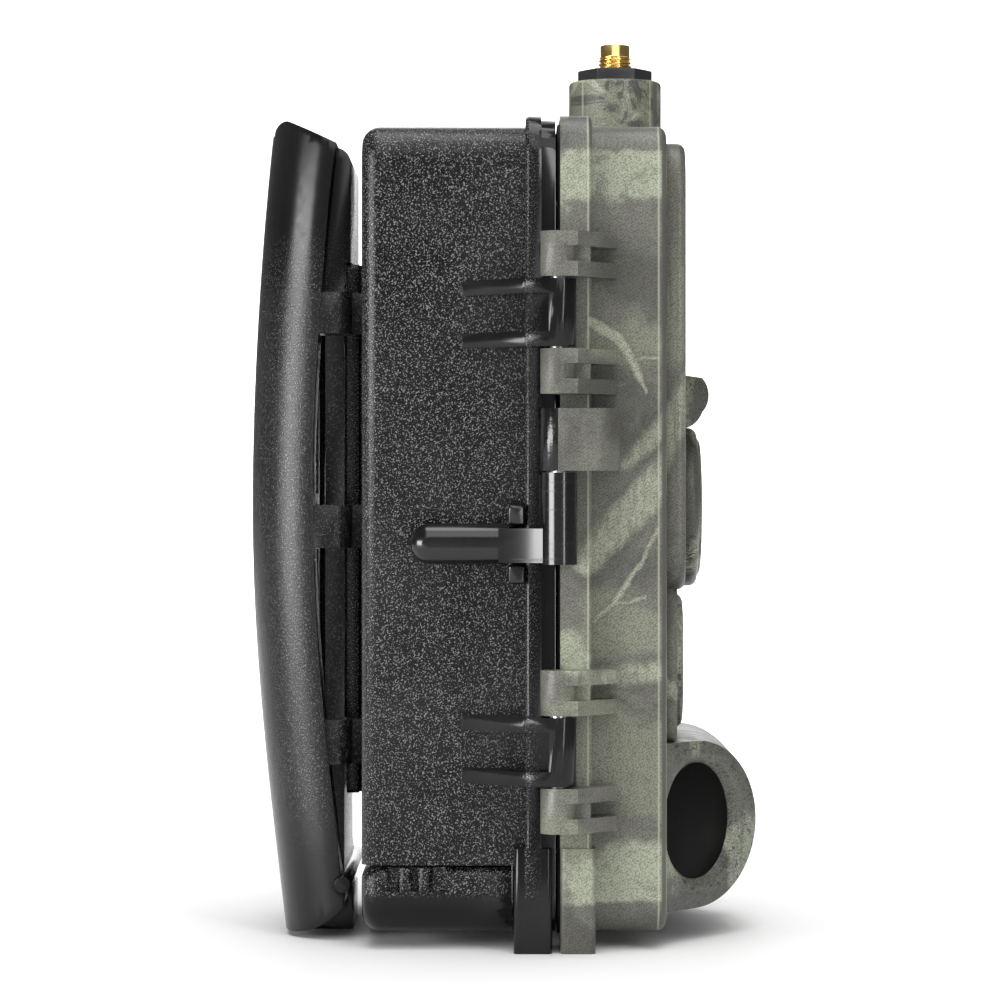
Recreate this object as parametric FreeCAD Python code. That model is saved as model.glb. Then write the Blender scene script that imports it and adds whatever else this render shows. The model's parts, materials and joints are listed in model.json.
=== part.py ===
"""Trail camera: a black rear housing, a camouflage front door and a tree bracket.

Millimetres, +Z up, +X is the way the camera looks. The origin is under the middle
of the whole object, on the plane it stands on. The hinge is on the -Y side.
"""
import FreeCAD, Part
import math
import os

os.makedirs("parts", exist_ok=True)
V = FreeCAD.Vector
X_AXIS = V(1, 0, 0)
Z_AXIS = V(0, 0, 1)

# ---- driving dimensions -------------------------------------------------------
PART_X = 9.33            # the plane where the door meets the housing
GAP = 0.3                # running gap between pieces of different bodies
WALL = 2.4               # moulded wall
HOUSING_HALF = 46.5      # half width of the housing and of the door
FLANGE_HALF = 51.0
BODY_BOTTOM = 3.0
BODY_TOP = 146.4
FLANGE_BOTTOM = 2.4
FLANGE_TOP = 148.0
HOUSING_BACK = PART_X - 34.8
DOOR_FRONT = PART_X + 19.4
PLATE_FRONT = PART_X + 23.0
HALF_WIDTH = 58.5        # to the outside of the hinges and of the latches
FOOT_TOP = 18.5
FAR = 60.0               # beyond the object, for cutting tools

HINGE_R = 3.15
HINGE_Y = -HALF_WIDTH + HINGE_R
PIN_R = 1.45
PIN_PLAY = 0.06
KNUCKLE_SETS = ((106.6, 118.5), (29.8, 41.8))   # the housing's knuckles, low and high
DOOR_KNUCKLE = 7.9
DOOR_KNUCKLE_GAP = 0.35
RIB = 2.6

COVER_TOP = 14.8         # the base cover under the housing
COVER_FRONT = PART_X - 8.1

BOSS_X = PART_X + 11.5   # antenna boss
BOSS_R = 8.7
BOSS_TOP = 158.6
TOTAL_HEIGHT = 165.6

LENS_Z = 78.5
LENS_R = 14.9
LED_Z = (106.0, 138.0)
LED_HALF = 29.0
INDICATOR_Z = 50.0
INDICATOR_YS = (-8.0, 8.0)
INDICATOR_R = 2.3

PIR_Z = 20.95
PIR_R = 15.15            # half height of the sensor nose
PIR_DEPTH = 11.9         # how far its rounded front stands out
PIR_NOSE = PART_X + 37.2
PIR_WINDOW_R = 10.5
PIR_SLANT = math.radians(53)
PIR_CENTRE_HALF = 14.0

CELL_R = 7.1
CELL_LENGTH = 50.0
CELL_PITCH = 14.9

BRACKET_HALF = 31.0
BRACKET_FLAT = 17.0      # half width of the flat back between the rolled sides
PAD_HALF = 20.0
PAD_Z = (25.9, 123.2)
PAD_DEPTH = 3.6          # how far the rail stands off the housing
PAD_LIP = 1.3            # the gap behind the rail that the hooks run in
PAD_SCREW_R = 1.3
PAD_SCREW_HEAD_R = 2.3
PAD_SCREWS = tuple((y, z) for y in (-12, 12) for z in (36.0, 74.5, 113.0))
BRACKET_ARMS = ((110.0, 117.5), (71.1, 78.9), (31.8, 39.9))
BRACKET_PIN_X = PART_X - 38.7
BRACKET_PIN_Z = 10.2
BRACKET_PIN_R = 1.5
FOOT_X = PART_X - 42.2
FOOT_BORE = 4.6
INSERT_R = 3.175         # 1/4-20 tripod thread
INSERT_TOP = 8.0


# ---- small helpers ------------------------------------------------------------
def box(x, y, z):
    return Part.makeBox(x[1] - x[0], y[1] - y[0], z[1] - z[0], V(x[0], y[0], z[0]))


def both(y_low, y_high):
    """The same span on both sides of the middle plane."""
    return ((-y_high, -y_low), (y_low, y_high))


def rod(radius, start, end):
    start, end = V(*start), V(*end)
    return Part.makeCylinder(radius, (end - start).Length, start, end - start)


def join(*shapes):
    first, rest = shapes[0], list(shapes[1:])
    return first.fuse(rest).removeSplitter() if rest else first


def carve(shape, *tools):
    return shape.cut(list(tools)).removeSplitter()


def prism(points, along):
    """A solid from a flat outline; a pair of points is an arc through the first to the second."""
    edges = []
    last = V(*points[0])
    for point in points[1:]:
        if isinstance(point[0], tuple):
            middle, end = V(*point[0]), V(*point[1])
            edges.append(Part.Arc(last, middle, end).toShape())
        else:
            end = V(*point)
            edges.append(Part.makeLine(last, end))
        last = end
    if (last - V(*points[0])).Length > 1e-6:
        edges.append(Part.makeLine(last, V(*points[0])))
    return Part.Face(Part.Wire(edges)).extrude(V(*along))


def edges_along(shape, axis, test=None):
    """Straight edges parallel to an axis, of which the test may keep some by midpoint."""
    found = []
    for edge in shape.Edges:
        if edge.Curve.TypeId != "Part::GeomLine":
            continue
        if abs(abs(edge.tangentAt(edge.FirstParameter).dot(axis)) - 1) > 1e-6:
            continue
        if test is None or test(edge.CenterOfMass):
            found.append(edge)
    return found


def rounded(shape, radius, axis, test=None):
    return shape.makeFillet(radius, edges_along(shape, axis, test))


def rounded_at(shape, radius, test):
    """Fillets every edge whose middle passes the test."""
    return shape.makeFillet(radius, [e for e in shape.Edges if test(e.CenterOfMass)])


def rounded_block(x, half, z, corner, front=0.0, back=0.0):
    """A block with its four corners rounded, then its front and back rims."""
    shape = rounded(box(x, (-half, half), z), corner, X_AXIS)
    if front:
        shape = rounded_at(shape, front, lambda c: abs(c.x - x[1]) < 1e-3)
    if back:
        shape = rounded_at(shape, back, lambda c: abs(c.x - x[0]) < 1e-3)
    return shape


def group(shapes):
    return Part.makeCompound(list(shapes))


def save(name, shape):
    shape.exportStep("parts/" + name + ".step")


# ---- hinge knuckles -----------------------------------------------------------
def hinge_pin_hole(z):
    return rod(PIN_R + PIN_PLAY, (PART_X, HINGE_Y, z[0] - 1), (PART_X, HINGE_Y, z[1] + 1))


def housing_rib(z):
    """A gusset that runs back from the hinge barrel and fades into the side wall."""
    outline = [
        (PART_X, -HALF_WIDTH, z[0]),
        (PART_X, HINGE_Y + HINGE_R, z[0]),
        (PART_X - 2.0, -FLANGE_HALF + 1, z[0]),
        (PART_X - 5.0, -HOUSING_HALF + 1, z[0]),
        (PART_X - 17.2, -HOUSING_HALF + 1, z[0]),
        (PART_X - 17.2, -HOUSING_HALF - 0.6, z[0]),
        (PART_X - 6.4, -HALF_WIDTH + 1.6, z[0]),
        (PART_X - 4.4, -HALF_WIDTH + 0.5, z[0]),
    ]
    return prism(outline, (0, 0, z[1] - z[0]))


def housing_knuckle(z):
    barrel = rod(HINGE_R, (PART_X, HINGE_Y, z[0]), (PART_X, HINGE_Y, z[1]))
    ribs = [housing_rib((z[0], z[0] + RIB)), housing_rib((z[1] - RIB, z[1]))]
    web = box((PART_X - 5.4, PART_X - 1.0), (HINGE_Y, -FLANGE_HALF + 1), (z[0], z[1]))
    slot = box((PART_X - 6, PART_X - 1.7), (-HALF_WIDTH - 1, HINGE_Y + 1.6), (z[0] + RIB, z[1] - RIB))
    return join(barrel, web, *ribs).cut(slot)


def door_rib(z):
    """A gusset that runs forward from a door barrel onto the door's side wall."""
    outline = [
        (PART_X, -HALF_WIDTH, z[0]),
        (PART_X + 3.4, -HALF_WIDTH + 0.4, z[0]),
        (PART_X + 10.4, -FLANGE_HALF + 1.2, z[0]),
        (PART_X + 10.4, -HOUSING_HALF + 1, z[0]),
        (PART_X + 1.0, -HOUSING_HALF + 1, z[0]),
        (PART_X + 0.5, -FLANGE_HALF, z[0]),
    ]
    return prism(outline, (0, 0, z[1] - z[0]))


def door_knuckle(z):
    barrel = rod(HINGE_R, (PART_X, HINGE_Y, z[0]), (PART_X, HINGE_Y, z[1]))
    ribs = [door_rib((z[0], z[0] + RIB)), door_rib((z[1] - RIB, z[1]))]
    web = box((PART_X + 0.5, PART_X + 5.6), (HINGE_Y, -FLANGE_HALF + 1), z)
    return join(barrel, web, *ribs)


def door_knuckle_spans():
    """The door has a knuckle above and one below each of the housing's."""
    spans = []
    for low, high in KNUCKLE_SETS:
        spans.append((low - DOOR_KNUCKLE_GAP - DOOR_KNUCKLE, low - DOOR_KNUCKLE_GAP))
        spans.append((high + DOOR_KNUCKLE_GAP, high + DOOR_KNUCKLE_GAP + DOOR_KNUCKLE))
    return spans


# ---- latches on the +Y side ---------------------------------------------------
LATCH_LEVELS = (112.6, 35.8)
LATCH_HALF = 9.0
LATCH_X = PART_X - 12.0
LATCH_R = 2.8
LATCH_Y = HALF_WIDTH - LATCH_R
LATCH_PIN_R = 1.1
LATCH_EAR = 2.4


def latch_ears(level):
    """Two ears on the housing's side wall that hold a latch's pin."""
    ears = []
    for low in (level - LATCH_HALF - GAP - LATCH_EAR, level + LATCH_HALF + GAP):
        outline = [
            (LATCH_X - 9.5, HOUSING_HALF, low),
            (LATCH_X - LATCH_R, LATCH_Y, low),
            ((LATCH_X, LATCH_Y + LATCH_R, low), (LATCH_X + LATCH_R, LATCH_Y, low)),
            (LATCH_X + 4.0, HOUSING_HALF, low),
        ]
        ear = prism(outline, (0, 0, LATCH_EAR))
        ears.append(ear.cut(rod(LATCH_PIN_R, (LATCH_X, LATCH_Y, low - 1), (LATCH_X, LATCH_Y, low + 5))))
    return ears


def latch_mounts():
    return group(ear for z in LATCH_LEVELS for ear in latch_ears(z))


def latch(level):
    """A swing latch: barrel, curved arm over the flanges and a turned-out thumb lip."""
    low = level - LATCH_HALF
    outline = [
        (LATCH_X, LATCH_Y - LATCH_R, low),
        (PART_X + 5.6, FLANGE_HALF + 1.0, low),
        (PART_X + 12.6, FLANGE_HALF + 3.6, low),
        (PART_X + 12.2, FLANGE_HALF + 6.0, low),
        ((PART_X + 6.4, FLANGE_HALF + 3.6, low), (PART_X + 0.4, FLANGE_HALF + 4.4, low)),
        ((LATCH_X + 6.4, LATCH_Y + 0.5, low), (LATCH_X, LATCH_Y + LATCH_R, low)),
    ]
    arm = rounded(prism(outline, (0, 0, 2 * LATCH_HALF)), 0.8, Z_AXIS, lambda c: c.x > PART_X + 10)
    barrel = rod(LATCH_R, (LATCH_X, LATCH_Y, low), (LATCH_X, LATCH_Y, low + 2 * LATCH_HALF))
    hole = rod(LATCH_PIN_R + PIN_PLAY, (LATCH_X, LATCH_Y, low - 1), (LATCH_X, LATCH_Y, low + 2 * LATCH_HALF + 1))
    waist = [box((PART_X + 3, PART_X + 14), (FLANGE_HALF, HALF_WIDTH), (low - 1, low + 2.2)),
             box((PART_X + 3, PART_X + 14), (FLANGE_HALF, HALF_WIDTH), (level + LATCH_HALF - 2.2, level + 12))]
    return carve(join(arm, barrel), hole, *waist)


def latch_pins():
    reach = LATCH_HALF + GAP + LATCH_EAR
    return group(rod(LATCH_PIN_R, (LATCH_X, LATCH_Y, z - reach), (LATCH_X, LATCH_Y, z + reach))
                 for z in LATCH_LEVELS)


# ---- rear housing -------------------------------------------------------------
def feet(x):
    """The two blocks at the ends of a flange that the object stands on."""
    return [rounded(box(x, y, (0, FOOT_TOP)), 1.0, Z_AXIS) for y in both(FLANGE_HALF - 9, FLANGE_HALF + 1.0)]


COVER_PIN_Y = 43.6
COVER_PIN_Z = 12.2
COVER_PIN_R = 0.9
COVER_BARREL_R = 2.3
COVER_SWING_R = 3.5      # what the cover's rounded edge sweeps, and the running gap
COVER_KNUCKLE = (PART_X - 25.6, PART_X - 17.4)
JACK_Y = -18.0
JACK_X = PART_X - 21.0


def housing_body():
    body = rounded_block((HOUSING_BACK, PART_X - 4), HOUSING_HALF, (BODY_BOTTOM, BODY_TOP), 6.0, back=3.2)
    flange = rounded_block((PART_X - 5.7, PART_X - 2.9), FLANGE_HALF, (FLANGE_BOTTOM, FLANGE_TOP), 7.0,
                           back=0.8)
    step = rounded_block((PART_X - 3.0, PART_X - 0.4), FLANGE_HALF - 0.8,
                         (FLANGE_BOTTOM + 0.8, FLANGE_TOP - 0.8), 6.4)
    return join(body, flange, step, *feet((PART_X - 7.8, PART_X - 1.0)))


def cover_bay():
    """The room under the housing's floor for the base cover."""
    return box((HOUSING_BACK - 1, COVER_FRONT + GAP), (-HOUSING_HALF - 4, HOUSING_HALF + 4),
               (-1, COVER_TOP + GAP))


def rear_shell():
    inner_half = HOUSING_HALF - WALL
    cavity = rounded(box((HOUSING_BACK + WALL, PART_X + 1), (-inner_half, inner_half),
                         (COVER_TOP + GAP + WALL, BODY_TOP - WALL)), 3.6, X_AXIS)
    knuckle = join(rod(COVER_BARREL_R, (COVER_KNUCKLE[0], COVER_PIN_Y, COVER_PIN_Z),
                       (COVER_KNUCKLE[1], COVER_PIN_Y, COVER_PIN_Z)),
                   box(COVER_KNUCKLE, (COVER_PIN_Y - COVER_BARREL_R, COVER_PIN_Y + 0.6),
                       (COVER_PIN_Z, COVER_TOP + GAP + 1)))
    swing_room = rod(COVER_SWING_R, (HOUSING_BACK - 1, COVER_PIN_Y, COVER_PIN_Z),
                     (COVER_FRONT + GAP, COVER_PIN_Y, COVER_PIN_Z))
    shell = join(carve(housing_body(), cover_bay(), cavity, swing_room), knuckle,
                 *[housing_knuckle(z) for z in KNUCKLE_SETS])
    holes = [hinge_pin_hole(z) for z in KNUCKLE_SETS]
    holes.append(rod(COVER_PIN_R, (COVER_KNUCKLE[0] - 1, COVER_PIN_Y, COVER_PIN_Z),
                     (COVER_KNUCKLE[1] + 1, COVER_PIN_Y, COVER_PIN_Z)))
    holes.append(rod(4.05, (JACK_X, JACK_Y, COVER_TOP - 1), (JACK_X, JACK_Y, 24)))
    holes.extend(rod(PAD_SCREW_R, (HOUSING_BACK - 1, y, z), (HOUSING_BACK + WALL - 0.3, y, z))
                 for y, z in PAD_SCREWS)
    return carve(shell, *holes)


def base_cover():
    """The bottom cap, hollow from above, with two finger lobes in a bay on its hinge side."""
    outer = rounded_block((HOUSING_BACK, PART_X - 6), HOUSING_HALF, (BODY_BOTTOM, BODY_TOP), 6.0, back=3.2)
    outer = outer.common(box((HOUSING_BACK - 1, COVER_FRONT), (-FAR, FAR), (0, COVER_TOP)))
    hollow = box((HOUSING_BACK + WALL, COVER_FRONT - WALL), (-HOUSING_HALF + WALL, HOUSING_HALF - 7.5),
                 (BODY_BOTTOM + WALL, COVER_TOP + 1))
    knuckle_room = box((COVER_KNUCKLE[0] - GAP, COVER_KNUCKLE[1] + GAP), (COVER_PIN_Y - 4, HOUSING_HALF + 1),
                       (COVER_PIN_Z - 3.4, COVER_TOP + 1))
    outer = rounded(outer, COVER_BARREL_R, X_AXIS,
                    lambda c: c.y > HOUSING_HALF - 1 and abs(c.z - COVER_TOP) < 1e-3)
    bay = box((PART_X - 30.2, PART_X - 19.8), (-HOUSING_HALF - 1, -HOUSING_HALF + 1.5), (10.4, COVER_TOP + 1))
    lobes = [rod(1.45, (x, -HOUSING_HALF + 1.2, 10.0), (x, -HOUSING_HALF + 1.2, COVER_TOP - 0.2))
             for x in (PART_X - 27.0, PART_X - 23.6)]
    hole = rod(COVER_PIN_R + PIN_PLAY, (HOUSING_BACK - 1, COVER_PIN_Y, COVER_PIN_Z),
               (COVER_FRONT - 3, COVER_PIN_Y, COVER_PIN_Z))
    return join(carve(outer, hollow, knuckle_room, bay, hole), *lobes)


def base_cover_pin():
    return rod(COVER_PIN_R, (HOUSING_BACK + 4.0, COVER_PIN_Y, COVER_PIN_Z),
               (COVER_FRONT - 3.2, COVER_PIN_Y, COVER_PIN_Z))


def dc_jack():
    """A round supply socket that looks down through the housing's floor."""
    floor = COVER_TOP + GAP
    body = join(rod(4.0, (JACK_X, JACK_Y, floor - 1.2), (JACK_X, JACK_Y, floor + 5)),
                box((JACK_X - 4.5, JACK_X + 4.5), (JACK_Y - 4.5, JACK_Y + 4.5), (floor + WALL, floor + 5.0)))
    well = rod(2.75, (JACK_X, JACK_Y, floor - 2), (JACK_X, JACK_Y, floor + 4))
    pin = rod(1.0, (JACK_X, JACK_Y, floor - 0.6), (JACK_X, JACK_Y, floor + 4.5))
    return join(carve(body, well), pin)


def lever_clip():
    """The forked plate on the side wall that the lever's neck lies in."""
    x = (PART_X - 8.7, PART_X - 5.9)
    plate = box(x, (-FLANGE_HALF - 1.0, -HOUSING_HALF), (65.0, 79.0))
    slot = box((x[0] - 1, x[1] + 1), (-FLANGE_HALF - 2, -HOUSING_HALF - 0.9), (68.3, 75.4))
    return rounded(plate, 0.8, X_AXIS, lambda c: c.y < -FLANGE_HALF).cut(slot)


def bracket_pad():
    """The mounting rail on the housing's back: a plate that stands off on a narrower spine."""
    back = HOUSING_BACK
    spine = box((back - PAD_LIP, back), (-PAD_HALF + 4.5, PAD_HALF - 4.5), PAD_Z)
    plate = rounded(box((back - PAD_DEPTH, back - PAD_LIP), (-PAD_HALF, PAD_HALF), PAD_Z), 1.2, X_AXIS)
    holes = [rod(PAD_SCREW_R, (back - 5, y, z), (back + 1, y, z)) for y, z in PAD_SCREWS]
    sinks = [rod(PAD_SCREW_HEAD_R, (back - 5, y, z), (back - PAD_DEPTH + 1.6, y, z)) for y, z in PAD_SCREWS]
    return carve(join(spine, plate), *holes, *sinks)


def pad_screws():
    """Pan-headed screws, sunk just below the face of the rail."""
    face = HOUSING_BACK - PAD_DEPTH
    return group(join(rod(PAD_SCREW_R, (face + 0.3, y, z), (HOUSING_BACK + WALL - 0.3, y, z)),
                      rod(PAD_SCREW_HEAD_R, (face + 0.3, y, z), (face + 1.6, y, z)))
                 for y, z in PAD_SCREWS)


# ---- battery and power --------------------------------------------------------
TRAY_X = (HOUSING_BACK + WALL, HOUSING_BACK + WALL + 17.5)
TRAY_Z = (21.5, 134.5)
CELL_X = HOUSING_BACK + WALL + 9.4
CELL_ROWS = (25.6, 80.4)
CELL_YS = tuple((i - 1.5) * CELL_PITCH for i in range(4))


def battery_cells():
    cells = []
    for z in CELL_ROWS:
        for index, y in enumerate(CELL_YS):
            nub = (z + CELL_LENGTH - 1.2, z + CELL_LENGTH) if index % 2 else (z, z + 1.2)
            can = (z, nub[0]) if index % 2 else (nub[1], z + CELL_LENGTH)
            cells.append(join(rod(CELL_R, (CELL_X, y, can[0]), (CELL_X, y, can[1])),
                              rod(2.7, (CELL_X, y, nub[0]), (CELL_X, y, nub[1]))))
    return group(cells)


def battery_tray():
    tray = rounded(box(TRAY_X, (-33.5, 33.5), TRAY_Z), 2.0, X_AXIS)
    room = []
    for z in CELL_ROWS:
        span = (z - 1.6, z + CELL_LENGTH + 1.6)
        for y in CELL_YS:
            room.append(rod(CELL_R + 0.2, (CELL_X, y, span[0]), (CELL_X, y, span[1])))
            room.append(box((CELL_X, TRAY_X[1] + 1), (y - CELL_R - 0.2, y + CELL_R + 0.2), span))
    return carve(tray, *room)


def battery_contacts():
    """Spring and button plates at both ends of every cell."""
    plates = []
    for z in CELL_ROWS:
        for y in CELL_YS:
            for low in (z - 1.5, z + CELL_LENGTH + 0.1):
                plates.append(box((CELL_X - 4, CELL_X + 4), (y - 4.5, y + 4.5), (low, low + 1.4)))
    return group(plates)


CONTACT_YS = (35.8, 39.6)
CONTACT_Z = 60.0


def contact_pins():
    """Two gold studs that carry the supply across the parting plane to the door."""
    return group(rod(0.9, (PART_X - 24, y, CONTACT_Z), (PART_X - 0.25, y, CONTACT_Z)) for y in CONTACT_YS)


def contact_block():
    block = box((HOUSING_BACK + WALL, PART_X - 4), (34.0, 41.5), (CONTACT_Z - 5, CONTACT_Z + 5))
    holes = [rod(0.9, (PART_X - 24, y, CONTACT_Z), (PART_X, y, CONTACT_Z)) for y in CONTACT_YS]
    return carve(block, *holes)


# ---- front door ---------------------------------------------------------------
LUG_Z = (84.9, 95.8)
LED_WINDOW_X = (PLATE_FRONT - 2.4, PLATE_FRONT - 0.8)


def lug():
    """The block over the lever: a barrel on the hinge line with a deep gusset."""
    low, high = LUG_Z
    outline = [
        (PART_X, -HALF_WIDTH, low),
        (PART_X + 6.0, -HALF_WIDTH + 0.2, low),
        ((PART_X + 9.0, -HALF_WIDTH + 1.4, low), (PART_X + 10.8, -HALF_WIDTH + 4.4, low)),
        (PART_X + 10.8, -HOUSING_HALF + 1, low),
        (PART_X + 1.0, -HOUSING_HALF + 1, low),
        (PART_X + 0.5, -FLANGE_HALF, low),
    ]
    barrel = rod(HINGE_R, (PART_X, HINGE_Y, low), (PART_X, HINGE_Y, high))
    return join(barrel, prism(outline, (0, 0, high - low)))


def door_body():
    body = rounded_block((PART_X + 3, DOOR_FRONT), HOUSING_HALF, (BODY_BOTTOM, BODY_TOP), 6.0, front=1.6)
    flange = rounded_block((PART_X + 0.4, PART_X + 6.0), FLANGE_HALF, (FLANGE_BOTTOM, FLANGE_TOP), 7.0,
                           front=0.8)
    boss = rod(BOSS_R, (BOSS_X, 0, BODY_TOP - 2), (BOSS_X, 0, BOSS_TOP))
    boss = rounded_at(boss, 0.8, lambda c: abs(c.z - BOSS_TOP) < 1e-3)
    skirt = rod(BOSS_R + 1.2, (BOSS_X, 0, BODY_TOP - 4), (BOSS_X, 0, BODY_TOP + 1.2))
    skirt = skirt.common(box((PART_X + 0.4, DOOR_FRONT - 0.5), (-20, 20), (100, 160)))
    return join(body, flange, boss, skirt, *feet((PART_X + 0.4, PART_X + 6.6)))


def front_shell():
    inner_half = HOUSING_HALF - WALL
    cavity = rounded(box((PART_X - 1, DOOR_FRONT - 2.0), (-inner_half, inner_half),
                         (BODY_BOTTOM + WALL, BODY_TOP - WALL)), 3.6, X_AXIS)
    groove = gasket_ring(PART_X + 1.6)
    openings = [
        box((DOOR_FRONT - 4, DOOR_FRONT + 1), (-LED_HALF + 1, LED_HALF - 1), (LED_Z[0] + 1, LED_Z[1] - 1)),
        rod(LENS_R - 3.0, (DOOR_FRONT - 4, 0, LENS_Z), (DOOR_FRONT + 1, 0, LENS_Z)),
        *indicator_holes((DOOR_FRONT - 4, DOOR_FRONT + 1)),
        box((DOOR_FRONT - 4, DOOR_FRONT + 1), (-37.2, 37.2), (PIR_Z - 11, PIR_Z + 11.6)),
        rod(3.3, (BOSS_X, 0, BODY_TOP - 12), (BOSS_X, 0, BOSS_TOP + 1)),
        rod(PIN_R, (PART_X, HINGE_Y, LUG_Z[0] - 1), (PART_X, HINGE_Y, LUG_Z[1] - 1.6)),
    ]
    shell = join(door_body(), lug(), *[door_knuckle(z) for z in door_knuckle_spans()])
    shell = carve(shell, cavity, groove, *openings)
    return shell.cut([hinge_pin_hole(z) for z in pin_spans()])


def pin_spans():
    """From the bottom of the lower door knuckle to the top of the upper one, for each set."""
    reach = DOOR_KNUCKLE + DOOR_KNUCKLE_GAP
    return [(low - reach, high + reach) for low, high in KNUCKLE_SETS]


def hinge_pins():
    """One long pin through each set of knuckles, a little short of their ends."""
    return group(rod(PIN_R, (PART_X, HINGE_Y, low + 0.6), (PART_X, HINGE_Y, high - 0.6))
                 for low, high in pin_spans())


def gasket_ring(front):
    inner = HOUSING_HALF - 1.2
    outer = HOUSING_HALF + 1.4
    low, high = BODY_BOTTOM - 0.2, BODY_TOP + 0.2
    ring = rounded_block((PART_X - 0.05, front), outer, (low, high), 5.0)
    return ring.cut(rounded_block((PART_X - 1, front + 1), inner, (low + 2.6, high - 2.6), 3.0))


def brow():
    """The hood over the lens: flat above, curved nose, tucked back underneath."""
    root = PLATE_FRONT - 1.0
    outline = [
        (root, 0, 102.9),
        (PART_X + 27.2, 0, 102.4),
        ((PART_X + 28.4, 0, 100.2), (PART_X + 27.2, 0, 96.0)),
        ((PART_X + 25.6, 0, 93.8), (root, 0, 92.9)),
    ]
    half = 21.0
    bar = prism([(x[0], -half, x[2]) if not isinstance(x[0], tuple)
                 else tuple((p[0], -half, p[2]) for p in x) for x in outline], (0, 2 * half, 0))
    ends = []
    for side in (-1, 1):
        ends.append(prism([(PART_X + 22.0, side * (half + 2), 90), (PART_X + 30.0, side * (half + 2), 90),
                           (PART_X + 30.0, side * (half - 9), 90)], (0, 0, 15)))
    room = rod(LENS_R + 0.15, (PLATE_FRONT, 0, LENS_Z), (PART_X + 30, 0, LENS_Z))
    return carve(bar, room, *ends)


def face_plate():
    """The raised camouflage plate on the door, with the window bays and the hood."""
    x = (DOOR_FRONT + 0.05, PLATE_FRONT)
    upper = rounded_block(x, 42.0, (63.7, 143.9), 7.0, front=1.4)
    neck = rounded_block((x[0], PLATE_FRONT - 1.4), 38.0, (36.4, 66.0), 5.0)
    plate = join(upper, neck, brow())
    led_bay = rounded_block((x[0] - 1, x[1] + 1), LED_HALF + 0.05, (LED_Z[0] - 0.05, LED_Z[1] + 0.05), 3.0)
    return carve(plate, led_bay,
                 rod(LENS_R - 1.6, (x[0] - 1, 0, LENS_Z), (x[1] + 5, 0, LENS_Z)),
                 *indicator_holes((x[0] - 1, x[1] + 5)))


def lens_bezel():
    """A stepped ring around the lens with a coned mouth."""
    base = rod(LENS_R - 0.3, (PLATE_FRONT, 0, LENS_Z), (PLATE_FRONT + 0.9, 0, LENS_Z))
    outer = rod(LENS_R, (PLATE_FRONT + 0.9, 0, LENS_Z), (PART_X + 26.8, 0, LENS_Z))
    outer = rounded_at(outer, 1.5, lambda c: abs(c.x - PART_X - 26.8) < 1e-3)
    spigot = rod(LENS_R - 1.7, (DOOR_FRONT + 0.1, 0, LENS_Z), (PLATE_FRONT + 0.5, 0, LENS_Z))
    crown = Part.makeTorus(LENS_R - 3.0, 1.2, V(PART_X + 26.2, 0, LENS_Z), X_AXIS)
    mouth = Part.makeCone(7.4, 11.6, 8.0, V(PART_X + 19.4, 0, LENS_Z), X_AXIS)
    bore = rod(7.4, (DOOR_FRONT - 1, 0, LENS_Z), (PART_X + 30, 0, LENS_Z))
    return carve(join(base, outer, spigot, crown), mouth, bore)


def lens_window():
    return rod(7.35, (PART_X + 20.4, 0, LENS_Z), (PART_X + 21.6, 0, LENS_Z))


def lens_barrel():
    """The small lens behind the window: threaded barrel, hood and front element."""
    body = join(rod(5.6, (PART_X + 9.0, 0, LENS_Z), (PART_X + 13.0, 0, LENS_Z)),
                rod(4.2, (PART_X + 13.0, 0, LENS_Z), (PART_X + 18.0, 0, LENS_Z)),
                rod(5.0, (PART_X + 18.0, 0, LENS_Z), (PART_X + 20.0, 0, LENS_Z)))
    return body.cut(Part.makeCone(2.0, 3.8, 1.6, V(PART_X + 18.6, 0, LENS_Z), X_AXIS))


def lens_element():
    cap = Part.makeSphere(3.0, V(PART_X + 16.4, 0, LENS_Z))
    return cap.common(box((PART_X + 18.65, PART_X + 20), (-1.9, 1.9), (LENS_Z - 1.9, LENS_Z + 1.9)))


def sensor_board():
    board = box((PART_X + 7.4, PART_X + 9.0), (-13, 13), (LENS_Z - 13, LENS_Z + 13))
    return rounded(board, 1.5, X_AXIS)


def led_board():
    return rounded_block((PART_X + 13.0, PART_X + 14.4), LED_HALF - 2, (LED_Z[0] + 1, LED_Z[1] - 1), 1.5)


def ir_leds():
    """Rows of domed lamps behind the dark window."""
    lamps = []
    start = PART_X + 14.4
    for row in range(4):
        for column in range(9):
            y = (column - 4) * 5.9
            z = LED_Z[0] + 4.6 + row * 7.6
            body = rod(1.5, (start, y, z), (start + 3.4, y, z))
            lamps.append(join(body, Part.makeSphere(1.5, V(start + 3.4, y, z))))
    return group(lamps)


def led_window():
    return rounded_block(LED_WINDOW_X, LED_HALF, LED_Z, 3.0)


def indicator_holes(x):
    return [rod(INDICATOR_R, (x[0], y, INDICATOR_Z), (x[1], y, INDICATOR_Z)) for y in INDICATOR_YS]


def indicator_pad():
    """The lower island: a rounded pad with two small lights in its face."""
    z = (37.6, 62.5)
    pad = rounded_block((PLATE_FRONT - 1.35, PART_X + 23.6), 20.0, z, 8.0, front=1.6)
    return carve(pad, *indicator_holes((PART_X + 15, PART_X + 30)))


def indicator_lights():
    lights = []
    for y in INDICATOR_YS:
        stem = rod(INDICATOR_R - 0.05, (PART_X + 14.0, y, INDICATOR_Z), (PART_X + 22.9, y, INDICATOR_Z))
        lights.append(rounded_at(stem, 0.8, lambda c: c.x > PART_X + 22))
    return group(lights)


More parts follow.
